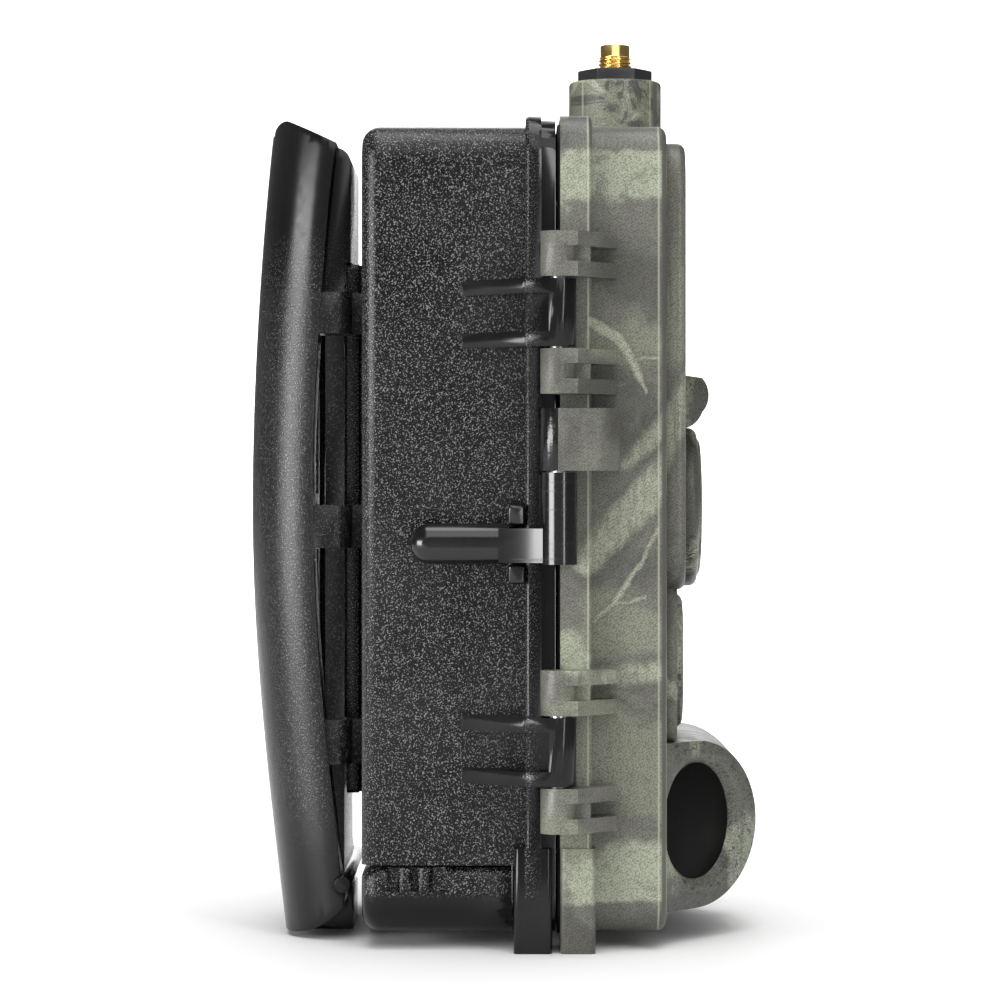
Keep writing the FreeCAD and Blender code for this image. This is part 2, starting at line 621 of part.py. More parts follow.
# ---- motion sensor ------------------------------------------------------------
def pir_form(inset=0.0):
    """The rounded nose in three facets; an inset makes a smaller copy of it."""
    half, depth = PIR_R - inset, PIR_DEPTH - inset
    centre = V(PIR_NOSE - PIR_DEPTH, -45, PIR_Z)
    oval = Part.Ellipse(centre + V(0, 0, half), centre + V(depth, 0, 0), centre)
    bulk = join(Part.Face(Part.Wire([oval.toShape()])).extrude(V(0, 90, 0)),
                box((DOOR_FRONT - 3, centre.x), (-45, 45), (PIR_Z - half, PIR_Z + half)))
    nose = PIR_NOSE
    slope = math.tan(math.pi / 2 - PIR_SLANT)
    shift = inset / math.sin(math.pi / 2 - PIR_SLANT)
    depth = nose - DOOR_FRONT
    far = PIR_CENTRE_HALF + depth / slope
    points = [
        (DOOR_FRONT - 1, -far + shift, 0),
        (nose - depth, -far + shift, 0),
        (nose, -PIR_CENTRE_HALF + shift, 0),
        (nose + 1, -PIR_CENTRE_HALF + shift, 0),
        (nose + 1, PIR_CENTRE_HALF - shift, 0),
        (nose, PIR_CENTRE_HALF - shift, 0),
        (nose - depth, far - shift, 0),
        (DOOR_FRONT - 1, far - shift, 0),
    ]
    return bulk.common(prism(points, (0, 0, 60)))


def pir_side_frame(side):
    """A point in the middle of a slanted facet and the facet's outward normal."""
    normal = V(math.sin(PIR_SLANT), side * math.cos(PIR_SLANT), 0)
    x = PART_X + 26.3
    slope = math.tan(math.pi / 2 - PIR_SLANT)
    y = side * (PIR_CENTRE_HALF + (PIR_NOSE - x) / slope)
    return V(x, y, PIR_Z + 0.6), normal


def along(centre, normal, radius, back, front):
    start = centre - normal * back
    return Part.makeCylinder(radius, back + front, start, normal)


def pir_housing():
    shell = pir_form().common(box((DOOR_FRONT + 0.05, 99), (-FAR, FAR), (0, 60)))
    shell = shell.cut(pir_form(WALL))
    for side in (-1, 1):
        centre, normal = pir_side_frame(side)
        shell = shell.cut(along(centre, normal, PIR_WINDOW_R + 0.05, 6, 2))
        bevel = Part.makeCone(PIR_WINDOW_R, PIR_WINDOW_R + 1.5, 1.4, centre - normal * 1.2, normal)
        shell = shell.cut(bevel)
    mouth = rod(PIR_WINDOW_R + 0.05, (PART_X + 25, 0, PIR_Z), (PIR_NOSE + 1, 0, PIR_Z))
    return carve(shell, mouth)


def pir_side_window(side):
    centre, normal = pir_side_frame(side)
    return along(centre, normal, PIR_WINDOW_R, 2.3, -1.2)


def pir_front_window():
    """A curved pane that follows the nose."""
    skin = pir_form(0.9).cut(pir_form(2.2))
    return skin.common(rod(PIR_WINDOW_R, (PART_X + 25, 0, PIR_Z), (PIR_NOSE + 1, 0, PIR_Z)))


def pir_sensors():
    cans = [rod(4.1, (PART_X + 23.0, 0, PIR_Z), (PART_X + 27.0, 0, PIR_Z))]
    for side in (-1, 1):
        centre, normal = pir_side_frame(side)
        cans.append(along(centre, normal, 4.1, 8.0, -4.4))
    return group(cans)


def pir_board():
    return box((PART_X + 16.0, PART_X + 17.2), (-30, 30), (PIR_Z - 9, PIR_Z + 9))


# ---- antenna ------------------------------------------------------------------
THREAD_R = 3.175
NECK_R = 3.0             # the jack below its thread
NUT_TOP = 160.8
THREAD_TOP = 163.3


def antenna_jack():
    """A threaded coaxial jack with a plain nose, a flange inside and a hollow centre."""
    jack = join(rod(NECK_R, (BOSS_X, 0, 139.0), (BOSS_X, 0, NUT_TOP)),
                rod(THREAD_R, (BOSS_X, 0, NUT_TOP), (BOSS_X, 0, THREAD_TOP)),
                rod(2.85, (BOSS_X, 0, THREAD_TOP), (BOSS_X, 0, TOTAL_HEIGHT)))
    jack = rounded_at(jack, 0.3, lambda c: abs(c.z - TOTAL_HEIGHT) < 1e-3)
    jack = jack.cut(rod(2.1, (BOSS_X, 0, TOTAL_HEIGHT - 3), (BOSS_X, 0, TOTAL_HEIGHT + 1)))
    return join(jack, rod(0.5, (BOSS_X, 0, TOTAL_HEIGHT - 4), (BOSS_X, 0, TOTAL_HEIGHT - 0.8)))


def antenna_nut():
    corner = 7.0
    points = [(BOSS_X + corner * math.cos(math.radians(a)), corner * math.sin(math.radians(a)), BOSS_TOP)
              for a in range(0, 360, 60)]
    nut = prism(points + [points[0]], (0, 0, NUT_TOP - BOSS_TOP))
    cone = Part.makeCone(9.6, 5.6, NUT_TOP - BOSS_TOP + 0.9, V(BOSS_X, 0, BOSS_TOP), Z_AXIS)
    return carve(nut.common(cone), rod(NECK_R, (BOSS_X, 0, BOSS_TOP - 1), (BOSS_X, 0, NUT_TOP + 1)))


def radio_board():
    return box((PART_X + 7.0, PART_X + 16.4), (-14, 14), (137.4, 139.0))


# ---- door electronics ---------------------------------------------------------
PANEL_X = (PART_X + 2.0, PART_X + 3.8)
PANEL_Z = (7.0, 142.0)
PANEL_HALF = 43.6
SCREEN_Z = (84.0, 124.0)
SCREEN_HALF = 26.0
KEY_Z = 56.0
KEY_PITCH = 9.6
KEYS = {
    "key_ok": (0.0, KEY_Z),
    "key_up": (0.0, KEY_Z + KEY_PITCH),
    "key_down": (0.0, KEY_Z - KEY_PITCH),
    "key_left": (-KEY_PITCH - 2.4, KEY_Z),
    "key_right": (KEY_PITCH + 2.4, KEY_Z),
    "key_menu": (KEY_PITCH * 2.5, KEY_Z),
}
KEY_R = 3.2
SWITCH_Z = 30.0
CARD_Z = (22.0, 49.0)
CARD_Y = -24.0
CARD_LENGTH = 32.0
PANEL_SCREWS = tuple((y, z) for y in (-38, 38) for z in (12.0, 137.0))


def inner_panel():
    """The plate that closes the back of the door, with the screen, key and card openings."""
    panel = rounded_block(PANEL_X, PANEL_HALF, PANEL_Z, 4.0)
    x = (PANEL_X[0] - 1, PANEL_X[1] + 1)
    holes = [box(x, (-SCREEN_HALF, SCREEN_HALF), SCREEN_Z)]
    holes += [rod(KEY_R + GAP, (x[0], y, z), (x[1], y, z)) for y, z in KEYS.values()]
    holes.append(box(x, (4.0, 24.0), (SWITCH_Z - 2.4, SWITCH_Z + 2.4)))
    holes.append(box(x, (CARD_Y - 13.5, CARD_Y + 13.5), (CARD_Z[0] - 11.0, CARD_Z[1] + 1.5)))
    holes += [rod(1.2, (x[0], y, z), (x[1], y, z)) for y, z in PANEL_SCREWS]
    holes += [rod(2.0, (x[0], y, CONTACT_Z), (x[1], y, CONTACT_Z)) for y in CONTACT_YS]
    holes += [rod(0.8, (x[0], 32 + 2.6 * i, 100 + 2.6 * j), (x[1], 32 + 2.6 * i, 100 + 2.6 * j))
              for i in range(4) for j in range(4)]
    return carve(panel, *holes)


def panel_screws():
    return group(join(rod(1.2, (PANEL_X[0], y, z), (PANEL_X[0] + 3.2, y, z)),
                      rod(2.2, (PANEL_X[0] - 1.2, y, z), (PANEL_X[0], y, z))) for y, z in PANEL_SCREWS)


def display():
    screen = box((PANEL_X[0] + 0.3, PANEL_X[0] + 1.5), (-SCREEN_HALF + 0.05, SCREEN_HALF - 0.05),
                 (SCREEN_Z[0] + 0.05, SCREEN_Z[1] - 0.05))
    frame = box((PANEL_X[1] + 0.02, PANEL_X[1] + 1.4), (-SCREEN_HALF - 2, SCREEN_HALF + 2),
                (SCREEN_Z[0] - 2, SCREEN_Z[1] + 2))
    link = box((PANEL_X[0] + 1.0, PANEL_X[1] + 1.0), (-SCREEN_HALF + 1, SCREEN_HALF - 1),
               (SCREEN_Z[0] + 1, SCREEN_Z[1] - 1))
    return join(screen, link, frame)


def key(place):
    """A round key cap with a collar behind the panel."""
    y, z = place
    cap = rod(KEY_R, (PANEL_X[0] - 1.0, y, z), (PANEL_X[1] + 0.4, y, z))
    collar = rod(KEY_R + 0.9, (PANEL_X[1] + GAP, y, z), (PANEL_X[1] + 0.9, y, z))
    return join(rounded_at(cap, 0.5, lambda c: c.x < PANEL_X[0]), collar)


def power_switch():
    knob = box((PANEL_X[0] - 1.2, PANEL_X[1] + 0.6), (5.0, 5.0 + 8.0), (SWITCH_Z - 1.9, SWITCH_Z + 1.9))
    knob = rounded(knob, 0.8, X_AXIS)
    grooves = [box((PANEL_X[0] - 1.4, PANEL_X[0] - 0.8), (y - 0.3, y + 0.3), (SWITCH_Z - 3, SWITCH_Z + 3))
               for y in (7.5, 9.0, 10.5)]
    base = box((PANEL_X[1] + GAP, PANEL_X[1] + 1.3), (3.5, 14.5), (SWITCH_Z - 3.6, SWITCH_Z + 3.6))
    return join(carve(knob, *grooves), base)


BOARD_X = (PART_X + 5.6, PART_X + 7.2)


def main_board():
    board = rounded_block(BOARD_X, 41.0, (11.0, 134.0), 3.0)
    chips = [box((BOARD_X[1] - 0.01, BOARD_X[1] + 1.4), (y, y + 14), (z, z + 14))
             for y, z in ((-34, 100), (18, 96), (-36, 48))]
    chips.append(box((BOARD_X[1] - 0.01, BOARD_X[1] + 3.0), (20, 28), (44, 60)))
    return join(board, *chips)


def card_slot():
    body = box((PANEL_X[0] + 0.2, BOARD_X[0]), (CARD_Y - 13.4, CARD_Y + 13.4), (CARD_Z[0], CARD_Z[1] + 1.4))
    room = box((PANEL_X[0] + 1.0, PANEL_X[0] + 1.0 + 2.1 + 2 * GAP), (CARD_Y - 12.0 - GAP, CARD_Y + 12.0 + GAP),
               (CARD_Z[0] - 1, CARD_Z[1]))
    return body.cut(room)


def memory_card():
    x = (PANEL_X[0] + 1.0 + GAP, PANEL_X[0] + 1.0 + GAP + 2.1)
    top = CARD_Z[1] - 1.0
    card = box(x, (CARD_Y - 12.0, CARD_Y + 12.0), (top - CARD_LENGTH, top))
    corner = prism([(x[0] - 1, CARD_Y - 12.1, top + 0.1), (x[0] - 1, CARD_Y - 8.0, top + 0.1),
                    (x[0] - 1, CARD_Y - 12.1, top - 4.0)], (5, 0, 0))
    return card.cut(corner)


def usb_port():
    y, z = 14.0, 13.0
    port = box((BOARD_X[0] - 4.4, BOARD_X[0]), (y - 4, y + 4), (z, z + 6))
    port = port.common(box((PANEL_X[1] + 0.02, 99), (-50, 50), (0, 99)))
    return port.cut(box((PANEL_X[1] - 1, BOARD_X[0] - 0.5), (y - 3.4, y + 3.4), (z - 1, z + 4.5)))


def contact_pads():
    return group(rod(1.2, (PART_X + 0.1, y, CONTACT_Z), (BOARD_X[0], y, CONTACT_Z)) for y in CONTACT_YS)


# ---- lock lever ---------------------------------------------------------------
LEVER_Z = (68.5, LUG_Z[0] - GAP)
NECK_Z = (68.8, 74.8)


def lock_lever():
    """A barrel on the hinge line, a bent neck and a smooth round-ended handle."""
    y_axis = HINGE_Y
    barrel = rod(HINGE_R - 0.05, (PART_X + 0.2, y_axis, LEVER_Z[0]), (PART_X + 0.2, y_axis, LEVER_Z[1]))
    neck_outline = [
        (PART_X + 0.2, y_axis - 2.9, NECK_Z[0]),
        (PART_X - 4.5, y_axis + 0.2, NECK_Z[0]),
        (PART_X - 10.5, y_axis + 1.0, NECK_Z[0]),
        (PART_X - 10.5, y_axis + 5.4, NECK_Z[0]),
        (PART_X - 6.2, y_axis + 5.0, NECK_Z[0]),
        (PART_X - 2.0, y_axis + 2.2, NECK_Z[0]),
    ]
    neck = prism(neck_outline, (0, 0, NECK_Z[1] - NECK_Z[0]))
    handle_z = (68.5, 75.7)
    middle = (handle_z[0] + handle_z[1]) / 2
    radius = (handle_z[1] - handle_z[0]) / 2
    y = (y_axis + 1.0, y_axis + 5.4)
    handle = join(box((PART_X - 22.4, PART_X - 9.2), y, handle_z),
                  rod(radius, (PART_X - 22.4, y[0], middle), (PART_X - 22.4, y[1], middle)))
    handle = rounded_at(handle, 3.0, lambda c: abs(c.y - y[0]) < 1e-3 and c.x < PART_X - 9.5)
    hole = rod(PIN_R + PIN_PLAY, (PART_X, y_axis, LEVER_Z[0] - 1), (PART_X, y_axis, LEVER_Z[1] + 1))
    return join(barrel, neck, handle).cut(hole)


def lever_pin():
    return rod(PIN_R, (PART_X, HINGE_Y, LEVER_Z[0] + 0.6), (PART_X, HINGE_Y, LUG_Z[1] - 1.6))


# ---- tree bracket -------------------------------------------------------------
BRACKET_SHAPE = (        # height, then the back and the front edge, from the parting plane
    (-1.0, -49.4, -37.0),
    (20.0, -51.9, -39.9),
    (40.0, -54.0, -42.0),
    (60.0, -55.4, -43.6),
    (79.0, -55.86, -44.1),
    (98.0, -55.5, -43.8),
    (118.0, -54.5, -42.5),
    (134.0, -53.3, -41.2),
    (150.0, -51.7, -38.6),
)
TOWER_HALF = 20.6        # the box inside the bracket that faces the rail
TOWER_WALL = 2.2
TOWER_X = (PART_X - 42.3, PART_X - 38.8)
TOWER_TOP_X = PART_X - 37.6


def bracket_section(z, back, front):
    """The bracket's plan at one height: a flat back and two rolled sides."""
    depth = back - front
    width = BRACKET_HALF - BRACKET_FLAT
    angles = [step * math.pi / 16 for step in range(9)]
    near = [V(PART_X + front + depth * math.sin(a), -BRACKET_FLAT - width * math.cos(a), z) for a in angles]
    far = [V(point.x, -point.y, z) for point in reversed(near)]
    edges = []
    for points in (near, [near[-1], far[0]], far, [far[-1], near[0]]):
        curve = Part.BSplineCurve()
        curve.interpolate(points)
        edges.append(curve.toShape())
    return Part.Wire(edges)


def bracket_ends(half):
    """What lies above the bracket's sloping top and below its sloping bottom."""
    p = PART_X
    top = prism([(p - 60, -half, 146.0), (p - 51.6, -half, 146.6),
                 ((p - 50.7, -half, 148.4), (p - 48.9, -half, 148.9)),
                 (p - 39.6, -half, 144.4), ((p - 38.2, -half, 143.4), (p - 37.6, -half, 141.2)),
                 (p - 30, -half, 141.2), (p - 30, -half, 160), (p - 60, -half, 160)], (0, 2 * half, 0))
    bottom = prism([(p - 60, -half, 3.0), (p - 50.0, -half, 3.0), ((p - 49.6, -half, 1.2), (p - 48.2, -half, 0.9)),
                    ((p - 42.6, -half, 2.7), (p - 38.9, -half, 5.8)), (p - 38.0, -half, 7.4),
                    (p - 30, -half, 7.4), (p - 30, -half, -5), (p - 60, -half, -5)], (0, 2 * half, 0))
    return top, bottom


def bracket_plate():
    plate = Part.makeLoft([bracket_section(*row) for row in BRACKET_SHAPE], True, False)
    valley = prism([(PART_X - 60, -16, -5), (PART_X - 54, -13, -5), (PART_X - 47.6, 0, -5),
                    (PART_X - 54, 13, -5), (PART_X - 60, 16, -5)], (0, 0, 170))
    return carve(plate, valley, *bracket_ends(BRACKET_HALF + 1))


def bracket_tower():
    """The box inside the bracket: closed ends, thin side walls, straps pass behind the walls."""
    low, high = BRACKET_ARMS[2][0], BRACKET_ARMS[0][1]
    middle = box(TOWER_X, (-TOWER_HALF, TOWER_HALF), (low, high))
    top = box((PART_X - 46, TOWER_TOP_X), (-TOWER_HALF, TOWER_HALF), (high - 0.5, 150))
    neck = box((PART_X - 46, TOWER_X[1]), (-TOWER_HALF, TOWER_HALF), (high - TOWER_WALL, high))
    foot = box((PART_X - 46, TOWER_X[1]), (-TOWER_HALF, TOWER_HALF), (-1, low + TOWER_WALL))
    top = top.cut(box((TOWER_X[1], PART_X), (-30, 30), (0, PAD_Z[1] + GAP)))
    return join(middle, top, neck, foot)


def bracket_arms():
    """Three bridges on each side from the rolled wall to the tower, and a hook on each."""
    arms = []
    for z in BRACKET_ARMS:
        for y in both(TOWER_HALF - 0.3, BRACKET_HALF - 0.8):
            arm = box((PART_X - 45.0, PART_X - 37.2), y, z)
            arms.append(rounded(arm, 2.5, Z_AXIS, lambda c: c.x > PART_X - 40 and abs(c.y) > 25))
        for y in both(PAD_HALF + GAP, PAD_HALF + 5.5):
            arms.append(box((PART_X - 40.0, HOUSING_BACK - 0.15), y, z))
        for y in both(PAD_HALF - 2.6, PAD_HALF + 1):
            arms.append(box((HOUSING_BACK - PAD_LIP + 0.35, HOUSING_BACK - 0.15), y, z))
    return arms


def bracket():
    """The tree bracket: a bowed plate with rolled sides, a box inside and arms that hook round the rail."""
    low, high = BRACKET_ARMS[2][0] + TOWER_WALL, BRACKET_ARMS[0][1] - TOWER_WALL
    room = box((PART_X - 45.0, PART_X), (-TOWER_HALF + TOWER_WALL, TOWER_HALF - TOWER_WALL), (low, high))
    windows = [box((PART_X - 60, PART_X - 40), (-12, 12), z) for z in ((42.5, 70.5), (81.0, 109.0))]
    body = join(bracket_plate(), bracket_tower(), *bracket_arms())
    return carve(body, room, *windows, *bracket_ends(BRACKET_HALF + 1),
                 rod(FOOT_BORE, (FOOT_X, 0, -1), (FOOT_X, 0, INSERT_TOP)),
                 rod(BRACKET_PIN_R, (BRACKET_PIN_X, -40, BRACKET_PIN_Z), (BRACKET_PIN_X, 40, BRACKET_PIN_Z)))


def bracket_foot():
    """The wedge under the bracket that carries the threaded tripod insert."""
    x = (PART_X - 46.9, PART_X - 37.5)
    wedge = prism([(x[0], -11, 0), (x[1], -11, 0), (x[1], -11, 7.3), (x[1] - 0.9, -11, 8.6),
                   (x[0] + 6.3, -11, 5.7), (x[0], -11, 1.4)], (0, 22, 0))
    return carve(wedge, bracket(), rod(FOOT_BORE, (FOOT_X, 0, -1), (FOOT_X, 0, INSERT_TOP)))


def tripod_insert():
    insert = rod(FOOT_BORE, (FOOT_X, 0, 0), (FOOT_X, 0, INSERT_TOP))
    return insert.cut(rod(INSERT_R, (FOOT_X, 0, -1), (FOOT_X, 0, INSERT_TOP - 0.8)))


def bracket_pin():
    """A cross pin at the bottom edge on which the bracket rocks against the housing."""
    return rod(BRACKET_PIN_R, (BRACKET_PIN_X, -BRACKET_HALF - 0.8, BRACKET_PIN_Z),
               (BRACKET_PIN_X, BRACKET_HALF + 0.8, BRACKET_PIN_Z))


# ---- write every piece --------------------------------------------------------
def build():
    save("rear_shell", rear_shell())
    save("base_cover", base_cover())
    save("base_cover_pin", base_cover_pin())
    save("dc_jack", dc_jack())
    save("lever_clip", lever_clip())
    save("bracket_pad", bracket_pad())
    save("pad_screws", pad_screws())
    save("battery_tray", battery_tray())
    save("battery_cells", battery_cells())
    save("battery_contacts", battery_contacts())
    save("contact_pins", contact_pins())
    save("contact_block", contact_block())
    save("hinge_pins", hinge_pins())
    save("latch_mounts", latch_mounts())
    for name, level in zip(("upper", "lower"), LATCH_LEVELS):
        save("latch_" + name, latch(level))
    save("latch_pins", latch_pins())
    save("front_shell", front_shell())
    save("door_gasket", gasket_ring(PART_X + 1.55))
    save("face_plate", face_plate())
    save("lens_bezel", lens_bezel())
    save("lens_window", lens_window())
    save("lens_barrel", lens_barrel())
    save("lens_element", lens_element())
    save("sensor_board", sensor_board())
    save("led_board", led_board())
    save("ir_leds", ir_leds())
    save("led_window", led_window())
    save("indicator_pad", indicator_pad())
    save("indicator_lights", indicator_lights())
    save("pir_housing", pir_housing())
    save("pir_window_left", pir_side_window(1))
    save("pir_window_right", pir_side_window(-1))
    save("pir_window_front", pir_front_window())
    save("pir_sensors", pir_sensors())
    save("pir_board", pir_board())
    save("antenna_jack", antenna_jack())
    save("antenna_nut", antenna_nut())
    save("radio_board", radio_board())
    save("inner_panel", inner_panel())
    save("panel_screws", panel_screws())
    save("display", display())
    for name, place in KEYS.items():
        save(name, key(place))
    save("power_switch", power_switch())
    save("main_board", main_board())
    save("card_slot", card_slot())
    save("memory_card", memory_card())
    save("usb_port", usb_port())
    save("contact_pads", contact_pads())
    save("lock_lever", lock_lever())
    save("lever_pin", lever_pin())
    save("tree_bracket", bracket())
    save("bracket_foot", bracket_foot())
    save("tripod_insert", tripod_insert())
    save("bracket_pin", bracket_pin())


build()
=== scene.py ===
import json
import math

import bmesh
import bpy
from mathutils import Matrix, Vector


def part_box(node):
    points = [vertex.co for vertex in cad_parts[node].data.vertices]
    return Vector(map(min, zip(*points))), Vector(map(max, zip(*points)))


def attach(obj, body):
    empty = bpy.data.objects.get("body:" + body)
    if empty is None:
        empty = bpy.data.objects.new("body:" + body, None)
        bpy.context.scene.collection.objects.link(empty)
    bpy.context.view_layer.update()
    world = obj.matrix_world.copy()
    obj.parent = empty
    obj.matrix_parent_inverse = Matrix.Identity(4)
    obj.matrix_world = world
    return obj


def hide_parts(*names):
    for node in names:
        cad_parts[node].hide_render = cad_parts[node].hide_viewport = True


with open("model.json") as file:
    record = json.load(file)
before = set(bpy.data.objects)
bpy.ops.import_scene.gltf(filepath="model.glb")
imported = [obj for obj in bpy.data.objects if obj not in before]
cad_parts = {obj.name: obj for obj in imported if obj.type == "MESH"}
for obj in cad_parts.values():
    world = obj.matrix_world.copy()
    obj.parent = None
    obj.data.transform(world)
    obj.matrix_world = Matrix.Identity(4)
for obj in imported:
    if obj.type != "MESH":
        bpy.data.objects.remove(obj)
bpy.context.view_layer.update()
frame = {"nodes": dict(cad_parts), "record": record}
NODES = frame["nodes"]
MM = 0.001

# ---- places worked out from the frame -----------------------------------------
DOOR_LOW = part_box("front_shell")[0]
PLATE_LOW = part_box("face_plate")[0]
JACK_LOW, JACK_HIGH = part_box("antenna_jack")
PIN_LOW, PIN_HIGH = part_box("hinge_pins")
PARTING_X = (PIN_LOW[0] + PIN_HIGH[0]) / 2
SIDE_Y = DOOR_LOW[1] + 12.0 * MM      # the door's side wall, inside its hinge knuckles
LUG_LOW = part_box("lever_pin")[1][2] - 10.0 * MM     # the lug that the lever's pin ends in
LUG_HIGH = LUG_LOW + 12.0 * MM
DOOR_FRONT = PLATE_LOW[0] - 0.05 * MM
FLANGE_HALF = -DOOR_LOW[1] - 7.3 * MM
# Where painted highlights run as pale lines, on the door's two long edges.
HIGHLIGHT_EDGES = (PARTING_X + 5.3 * MM, DOOR_FRONT - 1.5 * MM)
# Where the painted shade round the door's front rim begins.
RIM_START = DOOR_FRONT - 1.15 * MM
CAMERA_DISTANCE = 0.740
CAMERA_OFFSET_X = -10.2 * MM
CAMERA_HEIGHT = 79.8 * MM
SENSOR_MM = 36.0
LENS_MM = 141.0


# ---- shader helpers -----------------------------------------------------------
class Shader:
    """Adds nodes to one material's tree and links them as they are made."""

    def __init__(self, tree):
        self.tree = tree

    def add(self, kind, inputs=(), **settings):
        node = self.tree.nodes.new("ShaderNode" + kind)
        for name, value in settings.items():
            setattr(node, name, value)
        for key, value in dict(inputs).items():
            self.put(node.inputs[key], value)
        return node

    def put(self, socket, value):
        if isinstance(value, bpy.types.NodeSocket):
            self.tree.links.new(value, socket)
        elif value is not None:
            socket.default_value = value

    def math(self, operation, a, b=None, c=None, clamp=False):
        node = self.add("Math", operation=operation, use_clamp=clamp)
        for socket, value in zip(node.inputs, (a, b, c)):
            self.put(socket, value)
        return node.outputs[0]

    def vector(self, operation, a, b=None, scale=None):
        node = self.add("VectorMath", operation=operation)
        self.put(node.inputs[0], a)
        if b is not None:
            self.put(node.inputs[1], b)
        if scale is not None:
            self.put(node.inputs["Scale"], scale)
        measures = operation in ("DOT_PRODUCT", "DISTANCE")
        return node.outputs["Value" if measures else "Vector"]

    def place(self):
        """The point in the object's own rest frame, in metres."""
        return self.add("TexCoord").outputs["Object"]

    def stretched(self, point, scale, turn=(0, 0, 0)):
        node = self.add("Mapping", {"Vector": point, "Scale": scale, "Rotation": turn})
        return node.outputs["Vector"]

    def noise(self, point, scale, detail=2.0, roughness=0.5, distortion=0.0, out="Fac"):
        node = self.add("TexNoise", {"Vector": point, "Scale": scale, "Detail": detail,
                                     "Roughness": roughness, "Distortion": distortion})
        return node.outputs[out]

    def cells(self, point, scale, feature="F1", out="Distance", randomness=1.0):
        node = self.add("TexVoronoi", {"Vector": point, "Scale": scale, "Randomness": randomness},
                        feature=feature)
        return node.outputs[out]

    def range(self, value, low, high, to_low=0.0, to_high=1.0, smooth=True):
        node = self.add("MapRange", interpolation_type="SMOOTHSTEP" if smooth else "LINEAR")
        for index, item in enumerate((value, low, high, to_low, to_high)):
            self.put(node.inputs[index], item)
        return node.outputs[0]

    def mix(self, factor, a, b, blend="MIX"):
        node = self.add("Mix", data_type="RGBA", blend_type=blend)
        self.put(node.inputs["Factor"], factor)
        self.put(node.inputs[6], a)
        self.put(node.inputs[7], b)
        return node.outputs[2]

    def bump(self, height, distance, strength=1.0, normal=None):
        inputs = {"Height": height, "Distance": distance, "Strength": strength}
        if normal is not None:
            inputs["Normal"] = normal
        return self.add("Bump", inputs).outputs["Normal"]


def colour(red, green, blue):
    return (red, green, blue, 1.0)


def new_material(name, **shader_values):
    """A material with a Principled shader whose constants are set on its own sockets."""
    material = bpy.data.materials.new(name)
    material.use_nodes = True
    principled = material.node_tree.nodes["Principled BSDF"]
    for key, value in shader_values.items():
        principled.inputs[key.replace("_", " ")].default_value = value
    return material, Shader(material.node_tree), principled


# ---- plastics -----------------------------------------------------------------
def grain_cover(s, place, polished):
    """1 where the grain is, and 0 in the polished areas.

    A polished area is a list of (axis, start, end): the grain fades out from start to end along
    every axis in the list.
    """
    parts = s.add("SeparateXYZ", {"Vector": place}).outputs
    cover = 1.0
    for area in polished:
        smooth = 1.0
        for axis, start, end in area:
            smooth = s.math("MULTIPLY", smooth, s.range(parts[axis], start, end))
        cover = s.math("MULTIPLY", cover, s.math("SUBTRACT", 1.0, smooth))
    return cover


def grained_plastic(name, base, light, grain_scale, grain_depth, rough, gloss=0.5, polished=()):
    """Black moulded plastic with a spark-eroded grain whose glints are painted into the colour as pale
    flecks, smoother in polished areas.
    """
    material, s, shader = new_material(name)
    shader.inputs["Specular IOR Level"].default_value = gloss
    place = s.place()
    cover = grain_cover(s, place, polished)
    coarse = s.noise(place, grain_scale, 1.0, 0.5)
    fine = s.noise(place, grain_scale * 2.1, 1.0, 0.5)
    wear = s.noise(place, 38.0, 3.0, 0.55)
    smudge = s.noise(place, 9.0, 2.0, 0.5, 0.4)
    grain = s.math("MULTIPLY", s.math("MULTIPLY_ADD", fine, 0.35, coarse), cover)
    # Painted glints: pale flecks in the base colour stand in for light caught by the grain.
    painted_glint = s.math("MULTIPLY", s.range(coarse, 0.565, 0.69), cover)
    tone = s.mix(s.range(wear, 0.35, 0.75, 0.0, 0.06), base, light)
    s.put(shader.inputs["Base Color"], s.mix(painted_glint, tone, light))
    handled = s.range(smudge, 0.3, 0.75, rough - 0.05, rough + 0.07)
    sheen = s.math("MULTIPLY_ADD", cover, 0.08, s.math("SUBTRACT", handled, 0.08))
    s.put(shader.inputs["Roughness"], s.math("MULTIPLY_ADD", painted_glint, -0.08, sheen))
    s.put(shader.inputs["Normal"], s.bump(grain, grain_depth))
    return material


def smooth_plastic(name, base, light, rough, sink=0.00003, gloss=0.5):
    """Plain moulded plastic: faint flow marks, dust and fine handling scratches."""
    material, s, shader = new_material(name)
    shader.inputs["Specular IOR Level"].default_value = gloss
    place = s.place()
    flow = s.noise(s.stretched(place, (1.0, 1.0, 0.35)), 55.0, 3.0, 0.5, 0.6)
    dust = s.noise(place, 1500.0, 2.0, 0.6)
    scratch = s.noise(s.stretched(place, (1.0, 1.0, 14.0), (0.5, 0.3, 0.0)), 90.0, 2.0, 0.5)
    s.put(shader.inputs["Base Color"], s.mix(s.range(flow, 0.35, 0.75, 0.0, 0.7), base, light))
    scuffed = s.range(scratch, 0.58, 0.75, 0.0, 0.09)
    satin = s.range(flow, 0.3, 0.7, rough - 0.04, rough + 0.05)
    s.put(shader.inputs["Roughness"], s.math("ADD", satin, scuffed))
    s.put(shader.inputs["Normal"], s.bump(s.math("ADD", flow, s.math("MULTIPLY", dust, 0.12)), sink))
    return material


# ---- camouflage print ---------------------------------------------------------
SAGE = colour(0.325, 0.352, 0.262)
PALE = colour(0.440, 0.455, 0.345)
MOSS = colour(0.205, 0.213, 0.158)
GREY = colour(0.140, 0.140, 0.117)
DUSK = colour(0.082, 0.080, 0.072)
BARK = colour(0.020, 0.020, 0.016)
BARREL_BLACK = colour(0.005, 0.005, 0.005)

FACE_STARTS = 30.0      # bark is printed on the front only, beyond this far along the wrap

